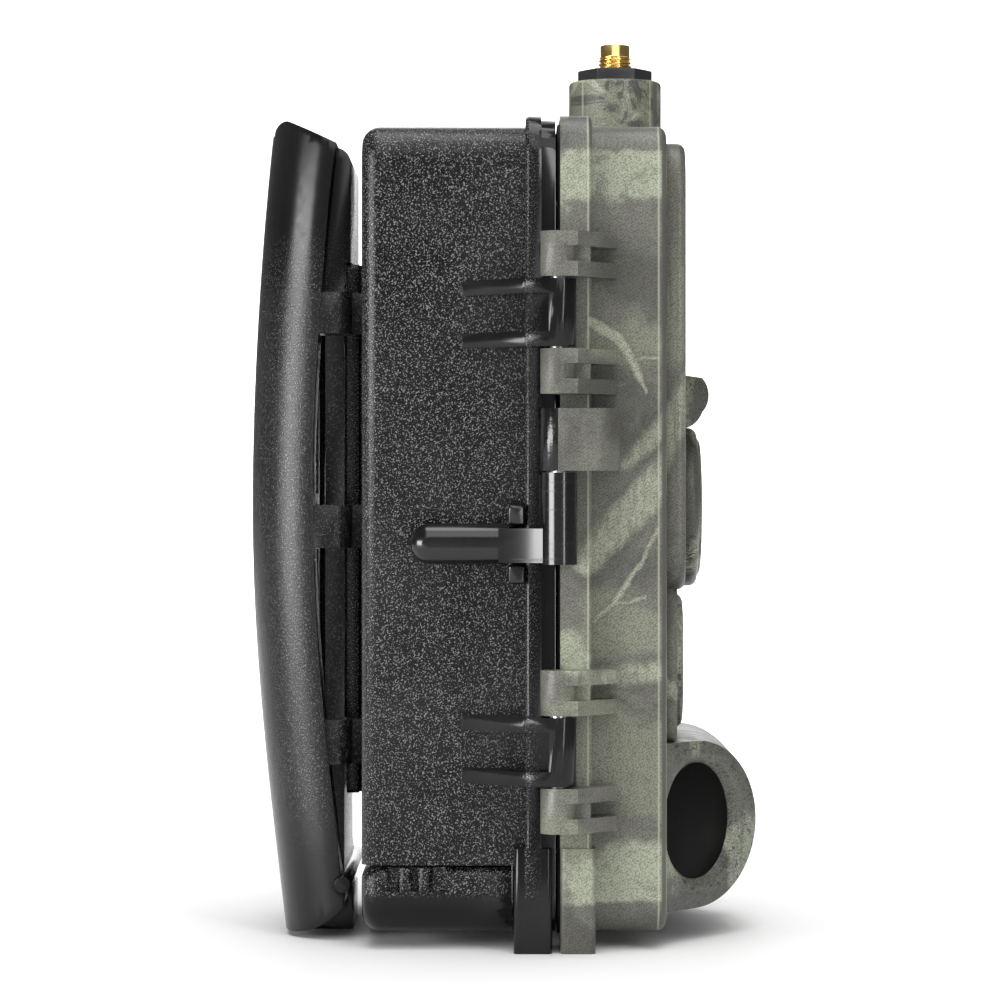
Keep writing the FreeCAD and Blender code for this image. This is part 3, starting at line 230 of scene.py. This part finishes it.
# Shapes of the print on the unrolled surface. Each is a tapering stroke: along the wrap and
# height of its start, the same of its end, and the half width at each, all in millimetres.
SAGE_PATCHES = (
    (13, 140, 22, 139, 8, 7), (3, 139, 3, 135, 3, 2.6), (8, 12, 22, 13, 7, 8), (0, 134, 0.4, 131, 2.2, 1.0),
    (40, 128, 58, 118, 9, 5), (70, 98, 92, 106, 8, 5), (46, 62, 60, 42, 8, 5), (84, 60, 98, 52, 8, 6),
    (66, 14, 84, 22, 9, 5), (106, 128, 122, 116, 8, 4), (108, 40, 124, 30, 8, 5), (30, 92, 36, 80, 4, 3),
    (2, 54, 5, 48, 3.5, 2.5), (33, 18, 46, 24, 8, 6),
)
MOSS_PATCHES = (
    (8, 40, 22, 28, 9, 7), (8, 58, 18, 56, 5, 4), (8, 106, 18, 108, 4, 4), (24, 110, 34, 122, 8, 6),
    (52, 98, 66, 84, 9, 6), (76, 134, 92, 126, 8, 6), (96, 84, 110, 70, 9, 6),
    (66, 46, 76, 34, 7, 6), (0, 20, 5, 18, 5, 3),
)
DUSK_PATCHES = (
    (10, 121, 18, 116, 5, 6), (8, 97, 20, 92, 6, 7), (6, 65, 18, 68, 3, 4), (9, 44, 22, 43.4, 0.8, 1.2),
    (2, 104, 3, 88, 3, 3), (26, 62, 40, 72, 6, 5), (44, 108, 54, 104, 5, 4), (60, 130, 66, 118, 5, 4),
    (82, 78, 92, 84, 6, 4), (54, 22, 60, 8, 5, 4), (92, 34, 100, 22, 6, 5), (100, 106, 112, 98, 6, 4),
    (1, 6, 4, 3, 4, 4), (56, 68, 64, 92, 13, 13),
)
BARK_SPOTS = (
    (54, 34, 62, 26, 3.4, 3.6), (40, 8, 52, 7, 3.2, 3.4), (47, 61, 48, 40, 2.2, 2.2),
    (56, 69, 64, 66, 4.5, 4.5),
)
TOP_SHADE = (141.0, 142.2)     # painted shade: darker over the top edge of the door and under its bottom edge
LOW_SHADE = (9.2, 8.2)
BOSS_START = 147.0
LIMBS = (
    (5, 69, 11, 75.5, 2.6, 3.0), (11, 75.5, 21, 86, 3.0, 3.8), (21, 86, 31, 104, 3.2, 2.2),
    (8, 48.6, 20, 49.6, 1.7, 2.0), (20, 49.6, 34, 44, 2.0, 1.2), (12, 86, 20, 94, 1.0, 2.2),
    (42, 36, 60, 70, 3.0, 2.0), (60, 70, 66, 92, 2.0, 1.0), (58, 66, 76, 72, 1.6, 0.8),
    (74, 112, 96, 134, 2.6, 1.4), (88, 12, 104, 36, 2.8, 1.6), (104, 36, 112, 62, 1.6, 0.9),
    (36, 132, 48, 142, 2.2, 1.4),
)
TWIGS = (
    (6.2, 111.0, 10.6, 108.6, 0.95, 0.95), (10.6, 108.6, 13.2, 104.6, 0.95, 0.7),
    (13.2, 104.6, 15.6, 99.2, 0.7, 0.3), (13.4, 104.7, 17.8, 105.0, 0.28, 0.2),
    (6.4, 58.2, 10.8, 62.6, 0.25, 0.42), (10.8, 62.6, 14.6, 68.4, 0.42, 0.34),
    (14.6, 68.4, 17.8, 74.6, 0.34, 0.30), (10.4, 61.4, 15.4, 62.4, 0.18, 0.26),
    (30, 104, 34, 122, 0.5, 0.25), (33, 112, 40, 116, 0.3, 0.2), (64, 84, 76, 96, 0.5, 0.25),
    (92, 128, 104, 132, 0.5, 0.25), (100, 26, 116, 22, 0.5, 0.25), (50, 56, 44, 66, 0.45, 0.2),
    (108, 50, 120, 60, 0.5, 0.25), (26, 96, 38, 94, 0.4, 0.2),
)


def unrolled(s, place):
    """Wraps the door's side wall and then its face onto one flat sheet of print, in millimetres."""
    parts = s.add("SeparateXYZ", {"Vector": place}).outputs
    along_side = s.math("MULTIPLY", s.math("SUBTRACT", parts["X"], PARTING_X), 1 / MM)
    along_face = s.math("MULTIPLY", s.math("SUBTRACT", parts["Y"], SIDE_Y), 1 / MM)
    along = s.math("ADD", along_side, s.math("MAXIMUM", along_face, 0.0))
    return s.add("CombineXYZ", {"X": along, "Y": s.math("MULTIPLY", parts["Z"], 1 / MM)}).outputs[0]


def stroke(s, point, ax, ay, bx, by, start, end):
    """How far in millimetres a flat point lies inside a tapering stroke from A to B."""
    run = Vector((bx - ax, by - ay, 0.0))
    offset = s.vector("SUBTRACT", point, (ax, ay, 0.0))
    share = s.vector("DOT_PRODUCT", offset, run / run.length_squared)
    share = s.math("ADD", share, 0.0, clamp=True)
    away = s.vector("DISTANCE", offset, s.vector("SCALE", run, scale=share))
    return s.math("SUBTRACT", s.math("MULTIPLY_ADD", share, end - start, start), away)


def strokes(s, point, table):
    """How far inside the nearest stroke of a table each point is; below 0 is outside."""
    deepest = stroke(s, point, *table[0])
    for row in table[1:]:
        deepest = s.math("MAXIMUM", deepest, stroke(s, point, *row))
    return deepest


def drawn(table, spans):
    """The rows of a table that start within the spans of the wrap."""
    return [row for row in table if any(low <= row[0] <= high for low, high in spans)]


def warped(s, flat, scale, reach):
    """A flat point pushed about by noise, so that shapes drawn from it get uneven outlines."""
    push = s.vector("SUBTRACT", s.noise(flat, scale, 3.0, 0.6, out="Color"), (0.5, 0.5, 0.5))
    return s.vector("ADD", flat, s.vector("SCALE", push, scale=reach))


def soft_patches(s, point, spans, mottle, streak):
    """The ground of the print: soft patches, mottled and streaked."""
    tone = s.mix(s.range(strokes(s, point, drawn(MOSS_PATCHES, spans)), -1.5, 2.5), GREY, MOSS)
    tone = s.mix(s.range(strokes(s, point, drawn(DUSK_PATCHES, spans)), -2.0, 2.5, 0.0, 0.9), tone, DUSK)
    tone = s.mix(s.range(strokes(s, point, drawn(SAGE_PATCHES, spans)), -1.2, 1.6), tone, SAGE)
    tone = s.mix(s.range(mottle, 0.52, 0.74, 0.0, 0.50), tone, DUSK)
    tone = s.mix(s.range(mottle, 0.46, 0.28, 0.0, 0.40), tone, MOSS)
    return s.mix(s.range(streak, 0.56, 0.74, 0.0, 0.35), tone, DUSK)


def branches(s, tone, point, spans, streak):
    """Wooden limbs with pale middles, and thin pale twigs, each with a dark outline."""
    limb = strokes(s, point, drawn(LIMBS, spans))
    wood = s.mix(s.range(streak, 0.40, 0.58), MOSS, SAGE)
    wood = s.mix(s.range(limb, 0.2, 1.8, 0.0, 0.35), wood, PALE)
    tone = s.mix(s.range(limb, -2.6, -0.3, 0.0, 0.35), tone, DUSK)
    tone = s.mix(s.range(limb, -0.7, 0.9, 0.0, 0.85), tone, wood)
    twig = strokes(s, point, drawn(TWIGS, spans))
    tone = s.mix(s.range(twig, -1.0, 0.0, 0.0, 0.30), tone, DUSK)
    return s.mix(s.range(twig, -0.35, 0.45, 0.0, 0.80), tone, PALE)


def shaded_ends(s, tone, height, flat):
    """Paints shade over the door's top edge and under its bottom edge, and gives the antenna boss its own
    blotches.
    """
    boss = s.range(height, BOSS_START, BOSS_START + 0.5)
    blotch = s.noise(flat, 0.24, 3.0, 0.6, 1.2)
    ground = s.mix(s.range(blotch, 0.53, 0.44), MOSS, DUSK)
    patched = s.mix(s.range(blotch, 0.60, 0.68), ground, SAGE)
    # Painted shade: the print darkens towards the door's top and bottom edges.
    shade = s.math("MAXIMUM", s.range(height, *TOP_SHADE), s.range(height, *LOW_SHADE))
    tone = s.mix(s.math("MULTIPLY", shade, 0.80), tone, DUSK)
    return s.mix(boss, tone, patched)


def bark(s, tone, along, flat, share):
    """Dark ridges and cracks in some areas of the front; a greater share gives larger areas."""
    grain = s.noise(s.stretched(flat, (0.8, 1.6, 1.0), (0, 0, 0.6)), 0.55, 4.0, 0.72, 1.6)
    spots = s.range(strokes(s, flat, BARK_SPOTS), -1.0, 0.6) if share else 0.0
    zone = s.range(s.noise(flat, 0.045, 2.0, 0.5), 0.66 - share, 0.74 - share)
    zone = s.math("MULTIPLY", zone, s.range(along, FACE_STARTS, FACE_STARTS + 3.0))
    zone = s.math("MAXIMUM", zone, spots)
    ridges = s.range(grain, 0.54, 0.59)
    cracks = s.math("MULTIPLY", s.range(grain, 0.44, 0.41), 0.6)
    marks = s.math("MAXIMUM", ridges, cracks)
    return s.mix(s.math("MULTIPLY", s.math("MULTIPLY", marks, zone), 0.94), tone, BARK)


def dragged_ink(s, tone, place):
    """Upright streaks, where the print's film was pulled over the front."""
    drag = s.noise(s.stretched(place, (1.0, 1.0, 0.05)), 1000.0, 2.0, 0.6)
    return s.mix(s.range(drag, 0.52, 0.68, 0.0, 0.5), tone, DUSK)


def dot_screen(s, tone, place):
    """The print's fine dots: dark between their centres and pale at them."""
    screen = s.cells(s.stretched(place, (1.0, 1.0, 1.0), (0.6, 0.4, 0.3)), 3600.0, randomness=0.62)
    tone = s.mix(s.range(screen, 0.38, 0.66, 0.0, 0.50), tone, BARK)
    return s.mix(s.range(screen, 0.28, 0.08, 0.0, 0.24), tone, PALE)


def edge_highlights_and_rim_shade(s, tone, rest):
    """Painted highlights as pale lines along the door's two long edges, and painted shade as a dark rim round
    its front.
    """
    inside = s.math("LESS_THAN", s.math("ABSOLUTE", rest["Y"]), FLANGE_HALF)
    for edge in HIGHLIGHT_EDGES:
        off = s.math("ABSOLUTE", s.math("SUBTRACT", rest["X"], edge))
        # Painted highlight: a pale line along each long edge.
        painted_highlight = s.math("MULTIPLY", s.range(off, 0.24 * MM, 0.08 * MM), inside)
        tone = s.mix(s.math("MULTIPLY", painted_highlight, 0.45), tone, PALE)
    # Painted shade: a dark band round the front rim.
    rim = s.math("MULTIPLY", s.range(rest["X"], RIM_START, RIM_START + 0.4 * MM),
                 s.range(rest["X"], DOOR_FRONT, DOOR_FRONT - 0.2 * MM))
    return s.mix(s.math("MULTIPLY", rim, 0.9), tone, DUSK)


def lug_barrel(s, rest):
    """1 on the black barrel of the lug that the lever's pin ends in, and 0 elsewhere."""
    lug = s.math("MULTIPLY", s.math("GREATER_THAN", rest["Z"], LUG_LOW),
                 s.math("LESS_THAN", rest["Z"], LUG_HIGH))
    return s.math("MULTIPLY", lug, s.range(rest["X"], PARTING_X, PARTING_X - 0.15 * MM))


def camouflage(name, spans, bark_share=0.0):
    """The dipped print: soft patches, wooden limbs, twigs, bark cracks and a fine dot screen, with painted
    shade over the top and bottom edges and, without bark, painted edge highlights and rim shade.

    Only the shapes that start within the spans of the wrap are drawn.
    """
    material, s, shader = new_material(name)
    shader.inputs["Specular IOR Level"].default_value = 0.45
    place = s.place()
    flat = unrolled(s, place)
    soft = warped(s, flat, 0.09, 14.0)
    crisp = warped(s, flat, 0.35, 1.6)
    mottle = s.noise(flat, 0.20, 4.0, 0.62, 0.5)
    streak = s.noise(s.stretched(crisp, (1.0, 0.30, 1.0), (0, 0, -0.75)), 0.9, 4.0, 0.65)

    tone = soft_patches(s, soft, spans, mottle, streak)
    tone = branches(s, tone, crisp, spans, streak)
    parts = s.add("SeparateXYZ", {"Vector": crisp}).outputs
    tone = shaded_ends(s, tone, parts["Y"], flat)
    tone = bark(s, tone, parts["X"], flat, bark_share)
    if bark_share:
        tone = dragged_ink(s, tone, place)
    tone = dot_screen(s, tone, place)
    rest = s.add("SeparateXYZ", {"Vector": place}).outputs
    # Painted highlights along the door's long edges and painted shade round its front rim.
    if not bark_share:
        tone = edge_highlights_and_rim_shade(s, tone, rest)

    barrel = lug_barrel(s, rest)
    s.put(shader.inputs["Base Color"], s.mix(barrel, tone, BARREL_BLACK))
    satin = s.range(mottle, 0.3, 0.7, 0.36, 0.48)
    s.put(shader.inputs["Roughness"], s.math("MULTIPLY_ADD", barrel, -0.24, satin))
    s.put(shader.inputs["Normal"], s.bump(s.noise(place, 1500.0, 2.0, 0.55), 0.00005))
    return material


# ---- metals, glass and the rest -----------------------------------------------
def metal(name, base, light, rough, grain=(1.0, 1.0, 9.0), scale=420.0):
    """Turned or drawn metal: fine lines round the axis, dull finger marks."""
    material, s, shader = new_material(name, Metallic=1.0)
    place = s.place()
    lines = s.noise(s.stretched(place, grain), scale, 3.0, 0.6)
    marks = s.noise(place, 160.0, 3.0, 0.6)
    s.put(shader.inputs["Base Color"], s.mix(s.range(marks, 0.35, 0.75), base, light))
    s.put(shader.inputs["Roughness"], s.math("ADD", s.range(marks, 0.3, 0.7, rough - 0.06, rough + 0.10),
                                             s.math("MULTIPLY", lines, 0.06)))
    s.put(shader.inputs["Normal"], s.bump(lines, 0.00001))
    return material


def dark_window(name):
    """Plastic that only infrared passes: near black, faintly brown, lightly dusty."""
    material, s, shader = new_material(name, IOR=1.12)
    place = s.place()
    dust = s.noise(place, 700.0, 3.0, 0.6)
    swirl = s.noise(place, 60.0, 2.0, 0.5, 1.0)
    clean, dusty = colour(0.0055, 0.0052, 0.0050), colour(0.016, 0.015, 0.014)
    s.put(shader.inputs["Base Color"], s.mix(s.range(dust, 0.58, 0.8, 0.0, 0.4), clean, dusty))
    s.put(shader.inputs["Roughness"], s.range(swirl, 0.3, 0.7, 0.42, 0.52))
    s.put(shader.inputs["Normal"], s.bump(dust, 0.000004))
    return material


def clear_glass(name, tint):
    material, s, shader = new_material(name, Transmission_Weight=0.92, IOR=1.5)
    place = s.place()
    film = s.noise(place, 240.0, 3.0, 0.6)
    filmed = colour(0.85, 0.88, 0.95)
    s.put(shader.inputs["Base Color"], s.mix(s.range(film, 0.4, 0.7, 0.0, 0.3), tint, filmed))
    s.put(shader.inputs["Roughness"], s.range(film, 0.35, 0.75, 0.02, 0.07))
    return material


def circuit_board(name):
    """Green solder mask with straight copper runs showing through and small solder dots."""
    material, s, shader = new_material(name)
    place = s.place()
    upright = s.stretched(place, (1, 1, 1), (0, math.pi / 2, 0))
    runs = s.add("TexBrick", {"Vector": upright, "Scale": 180.0, "Mortar Size": 0.035,
                              "Color1": colour(0.012, 0.085, 0.038), "Color2": colour(0.016, 0.105, 0.048),
                              "Mortar": colour(0.05, 0.19, 0.085)})
    dots = s.cells(place, 420.0)
    pads = s.math("MULTIPLY", s.range(dots, 0.16, 0.10), s.range(s.noise(place, 70.0), 0.52, 0.6))
    s.put(shader.inputs["Base Color"], s.mix(pads, runs.outputs["Color"], colour(0.62, 0.60, 0.52)))
    s.put(shader.inputs["Roughness"], s.range(s.noise(place, 300.0), 0.3, 0.7, 0.28, 0.42))
    s.put(shader.inputs["Normal"], s.bump(s.math("ADD", runs.outputs["Fac"], pads), 0.00005))
    return material


def rubber(name, base, light, rough=0.72):
    material, s, shader = new_material(name)
    place = s.place()
    fine = s.noise(place, 1800.0, 2.0, 0.6)
    bloom = s.noise(place, 70.0, 3.0, 0.6)
    s.put(shader.inputs["Base Color"], s.mix(s.range(bloom, 0.4, 0.75), base, light))
    s.put(shader.inputs["Roughness"], s.range(bloom, 0.3, 0.7, rough - 0.06, rough + 0.06))
    s.put(shader.inputs["Normal"], s.bump(fine, 0.00004))
    return material


SHELL_POLISH = (
    [("X", PARTING_X - 6.6 * MM, PARTING_X - 2.4 * MM)],
    [("Z", 10.5 * MM, 9.0 * MM)],
    [("Y", SIDE_Y - 0.5 * MM, SIDE_Y - 1.2 * MM), ("X", PARTING_X - 5.6 * MM, PARTING_X - 6.0 * MM)],
)
BRACKET_POLISH = ([("Z", 112.0 * MM, 134.0 * MM)], [("Z", 30.0 * MM, 12.0 * MM)])

# For the grained plastics below, the second colour is that of their painted glints and of a slight drift in
# tone.
MATERIALS = {
    "black_shell": grained_plastic("black_shell", colour(0.0014, 0.0014, 0.0016), colour(0.185, 0.184, 0.192),
                                   4100.0, 0.00006, 0.25, 0.29, SHELL_POLISH),
    "bracket_plastic": grained_plastic("bracket_plastic", colour(0.0022, 0.0022, 0.0023),
                                       colour(0.100, 0.103, 0.100),
                                       4100.0, 0.00004, 0.33, 0.37, BRACKET_POLISH),
    "smooth_black": smooth_plastic("smooth_black", colour(0.0030, 0.0031, 0.0030),
                                   colour(0.006, 0.0065, 0.006), 0.19, gloss=0.60),
    "camouflage": camouflage("camouflage", ((0, 32), (96, 130))),
    "camouflage_bark": camouflage("camouflage_bark", ((18, 112),), bark_share=0.31),
    "seal_rubber": rubber("seal_rubber", colour(0.012, 0.012, 0.012), colour(0.022, 0.022, 0.022)),
    "pin_steel": metal("pin_steel", colour(0.52, 0.52, 0.53), colour(0.62, 0.62, 0.62), 0.30),
    "screw_steel": metal("screw_steel", colour(0.50, 0.50, 0.50), colour(0.64, 0.63, 0.60), 0.34),
    "gold_plate": metal("gold_plate", colour(0.80, 0.55, 0.19), colour(0.93, 0.72, 0.34), 0.20),
    "insert_brass": metal("insert_brass", colour(0.62, 0.44, 0.18), colour(0.76, 0.58, 0.28), 0.30),
    "nut_black": smooth_plastic("nut_black", colour(0.018, 0.018, 0.018), colour(0.034, 0.034, 0.034), 0.30),
    "dark_window": dark_window("dark_window"),
    "clear_glass": clear_glass("clear_glass", colour(0.92, 0.94, 0.96)),
    "lens_black": smooth_plastic("lens_black", colour(0.012, 0.012, 0.013),
                                 colour(0.022, 0.022, 0.023), 0.34),
    "lamp_clear": smooth_plastic("lamp_clear", colour(0.55, 0.57, 0.60), colour(0.70, 0.71, 0.73), 0.12),
    "circuit_board": circuit_board("circuit_board"),
    "sensor_can": metal("sensor_can", colour(0.58, 0.57, 0.54), colour(0.70, 0.69, 0.66), 0.26),
    "panel_black": grained_plastic("panel_black", colour(0.022, 0.022, 0.023), colour(0.040, 0.040, 0.041),
                                   2600.0, 0.00008, 0.48),
    "key_grey": rubber("key_grey", colour(0.17, 0.17, 0.18), colour(0.23, 0.23, 0.24), 0.55),
    "screen": smooth_plastic("screen", colour(0.008, 0.009, 0.011), colour(0.014, 0.016, 0.020),
                             0.10, 0.000004),
    "bright_metal": metal("bright_metal", colour(0.62, 0.61, 0.58), colour(0.76, 0.75, 0.72), 0.28),
    "card_blue": smooth_plastic("card_blue", colour(0.020, 0.030, 0.080), colour(0.035, 0.046, 0.11), 0.38),
    "cell_wrap": smooth_plastic("cell_wrap", colour(0.030, 0.030, 0.033), colour(0.055, 0.055, 0.060), 0.22),
}
BARK_NODES = ("pir_housing", "face_plate", "lens_bezel", "indicator_pad")


# ---- carried-over CAD nodes ---------------------------------------------------
EDGE_WIDTHS = {"tree_bracket": 0.7, "face_plate": 0.45, "front_shell": 0.35, "rear_shell": 0.35,
               "bracket_foot": 0.5, "latch_upper": 0.5, "latch_lower": 0.5, "pir_housing": 0.4,
               "base_cover": 0.35, "bracket_pad": 0.3, "antenna_nut": 0.25, "lever_clip": 0.35}
DEFAULT_EDGE = 0.12
KEPT_AS_CUT = ("lock_lever", "antenna_jack", "inner_panel", "battery_tray")


def soften(node):
    """Joins the mesh's seams, then rounds its sharp edges a little or, for a few nodes, keeps them."""
    weld = node.modifiers.new("join", "WELD")
    weld.merge_threshold = 1e-6
    if node.name in KEPT_AS_CUT:
        split = node.modifiers.new("split", "EDGE_SPLIT")
        split.split_angle = math.radians(32)
        return
    flatten = node.modifiers.new("flatten", "DECIMATE")
    flatten.decimate_type = "DISSOLVE"
    flatten.angle_limit = math.radians(0.6)
    bevel = node.modifiers.new("edges", "BEVEL")
    bevel.width = EDGE_WIDTHS.get(node.name, DEFAULT_EDGE) * MM
    bevel.segments = 2
    bevel.limit_method = "ANGLE"
    bevel.angle_limit = math.radians(28)
    bevel.harden_normals = True
    bevel.use_clamp_overlap = True


def dress_nodes():
    slots = {part["node"]: part["material_slot"] for part in frame["record"]["subparts"]}
    for name, node in NODES.items():
        chosen = slots[name]
        if name in BARK_NODES:
            chosen = "camouflage_bark"
        node.data.materials.clear()
        node.data.materials.append(MATERIALS[chosen])
        node.data.shade_smooth()
        soften(node)


# ---- the antenna jack, with a real thread --------------------------------------
THREAD_PITCH = 25.4 / 36 * MM
JACK_SIDES = 64
ROW_STEP = THREAD_PITCH / 12
RUN_OUT = 6              # rows over which the thread fades out at each end


def thread_depth(height, turn):
    """A rounded V thread: 0 at the crest and 1 in the root."""
    phase = (height / THREAD_PITCH - turn) % 1.0
    return min(1.0, max(0.0, 1.25 - abs(phase * 2 - 1) * 1.5))


def lathe(form, rows):
    """Joins rings of vertices into one skin. Each row is a height and a radius for a share of the turn."""
    rings = []
    for height, radius in rows:
        ring = []
        for side in range(JACK_SIDES):
            turn = side / JACK_SIDES
            angle = turn * 2 * math.pi
            reach = radius(turn)
            ring.append(form.verts.new((reach * math.cos(angle), reach * math.sin(angle), height)))
        rings.append(ring)
    for lower, upper in zip(rings, rings[1:]):
        for side in range(JACK_SIDES):
            after = (side + 1) % JACK_SIDES
            form.faces.new((lower[side], lower[after], upper[after], upper[side]))


def plain(radius):
    """The same radius all the way round."""
    return lambda turn: radius


def threaded(height, major, root, ease):
    """A thread's radius at one height; it runs out to the root where ease falls to 0."""
    return lambda turn: major - (major - root) * (1 - ease * (1 - thread_depth(height, turn)))


def jack_rows():
    """The jack from its foot to its mouth and down inside to its pin, as heights and radii."""
    nut_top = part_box("antenna_nut")[1][2]
    top = JACK_HIGH[2]
    major = (JACK_HIGH[0] - JACK_LOW[0]) / 2
    neck = major - 0.175 * MM
    nose = major - 0.40 * MM
    root = major - 0.38 * MM
    bore = 2.1 * MM
    thread_low, thread_high = nut_top + 0.1 * MM, top - 2.1 * MM
    rows = [(JACK_LOW[2], plain(0.1 * MM)), (JACK_LOW[2], plain(neck)), (nut_top, plain(neck)),
            (thread_low, plain(root))]
    for step in range(int((thread_high - thread_low) / ROW_STEP) + 1):
        height = thread_low + step * ROW_STEP
        ease = min(1.0, step / RUN_OUT, (thread_high - height) / ROW_STEP / RUN_OUT)
        rows.append((height, threaded(height, major, root, ease)))
    rows += [(thread_high + 0.05 * MM, plain(nose)), (top - 0.3 * MM, plain(nose)),
             (top - 0.08 * MM, plain(nose - 0.1 * MM)), (top, plain(nose - 0.3 * MM)),
             (top, plain(bore + 0.12 * MM)), (top - 0.12 * MM, plain(bore)),
             (top - 3.0 * MM, plain(bore)), (top - 3.0 * MM, plain(0.52 * MM)),
             (top - 1.0 * MM, plain(0.5 * MM)), (top - 0.8 * MM, plain(0.3 * MM)),
             (top - 0.8 * MM, plain(0.02 * MM))]
    return rows


def antenna_jack():
    centre_x = (JACK_LOW[0] + JACK_HIGH[0]) / 2
    form = bmesh.new()
    lathe(form, jack_rows())
    for vertex in form.verts:
        vertex.co.x += centre_x
    mesh = bpy.data.meshes.new("antenna_jack_threaded")
    form.to_mesh(mesh)
    form.free()
    mesh.shade_smooth()
    mesh.set_sharp_from_angle(angle=math.radians(40))
    mesh.materials.append(MATERIALS["gold_plate"])
    piece = bpy.data.objects.new("antenna_jack_threaded", mesh)
    bpy.context.scene.collection.objects.link(piece)
    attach(piece, "door")
    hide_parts("antenna_jack")


# ---- stage, light and camera --------------------------------------------------
def stage():
    """A white sweep: a wide floor that narrows to a curve and a back wall, in one sheet."""
    mesh = bpy.data.meshes.new("backdrop")
    form = bmesh.new()
    depth, radius, height = 1.1, 0.4, 2.0
    floor_half, wall_half = 2.5, 0.38
    steps = 12
    profile = [(-2.5, 0.0, floor_half), (depth - 0.4, 0.0, floor_half), (depth, 0.0, wall_half)]
    for step in range(1, steps + 1):
        angle = step / steps * math.pi / 2
        profile.append((depth + radius * math.sin(angle), radius - radius * math.cos(angle), wall_half))
    profile.append((depth + radius, height, wall_half))
    rows = [[form.verts.new((x, y, z)) for x in (-half, half)] for y, z, half in profile]
    for lower, upper in zip(rows, rows[1:]):
        form.faces.new((lower[0], lower[1], upper[1], upper[0]))
    form.to_mesh(mesh)
    form.free()
    mesh.shade_smooth()
    sheet = bpy.data.objects.new("backdrop", mesh)
    white = new_material("backdrop_white", Roughness=0.8, Base_Color=colour(0.95, 0.95, 0.95))[0]
    mesh.materials.append(white)
    bpy.context.scene.collection.objects.link(sheet)


def area_light(name, place, target, size, power, shape=(1.0, 1.0)):
    data = bpy.data.lights.new(name, "AREA")
    data.shape = "RECTANGLE"
    data.size = size * shape[0]
    data.size_y = size * shape[1]
    data.energy = power
    lamp = bpy.data.objects.new(name, data)
    lamp.location = place
    lamp.rotation_euler = (Vector(target) - Vector(place)).to_track_quat("-Z", "Y").to_euler()
    bpy.context.scene.collection.objects.link(lamp)


def lights():
    """Strip boxes at the left and the right, soft ones in front and overhead, a lamp for the wall."""
    middle = (0.0, 0.0, 0.08)
    area_light("key_light", (-0.82, -0.64, 0.13), middle, 0.62, 9.0, (1.0, 0.5))
    area_light("edge_light", (0.56, -1.02, 0.18), middle, 0.12, 4.0, (1.0, 8.0))
    area_light("front_light", (0.1, -1.7, 0.8), middle, 2.0, 2.5)
    area_light("high_light", (0.1, -0.95, 1.1), middle, 1.2, 9.0)
    area_light("top_light", (0.0, -0.05, 1.1), middle, 0.7, 6.5)
    area_light("wall_light", (0.0, 0.65, 0.75), (0.0, 1.25, 0.10), 1.0, 18.0, (1.0, 0.5))
    world = bpy.data.worlds.new("studio")
    world.use_nodes = True
    world.node_tree.nodes["Background"].inputs["Color"].default_value = (1.0, 1.0, 1.0, 1.0)
    world.node_tree.nodes["Background"].inputs["Strength"].default_value = 0.16
    bpy.context.scene.world = world


def camera():
    data = bpy.data.cameras.new("camera")
    data.sensor_width = SENSOR_MM
    data.lens = LENS_MM
    data.clip_start = 0.05
    data.clip_end = 20.0
    view = bpy.data.objects.new("camera", data)
    view.location = (PARTING_X + CAMERA_OFFSET_X, -CAMERA_DISTANCE, CAMERA_HEIGHT)
    view.rotation_euler = (math.pi / 2, 0.0, 0.0)
    bpy.context.scene.collection.objects.link(view)
    bpy.context.scene.camera = view


bpy.context.scene.view_settings.view_transform = "Standard"
camera()
stage()
lights()
dress_nodes()
antenna_jack()
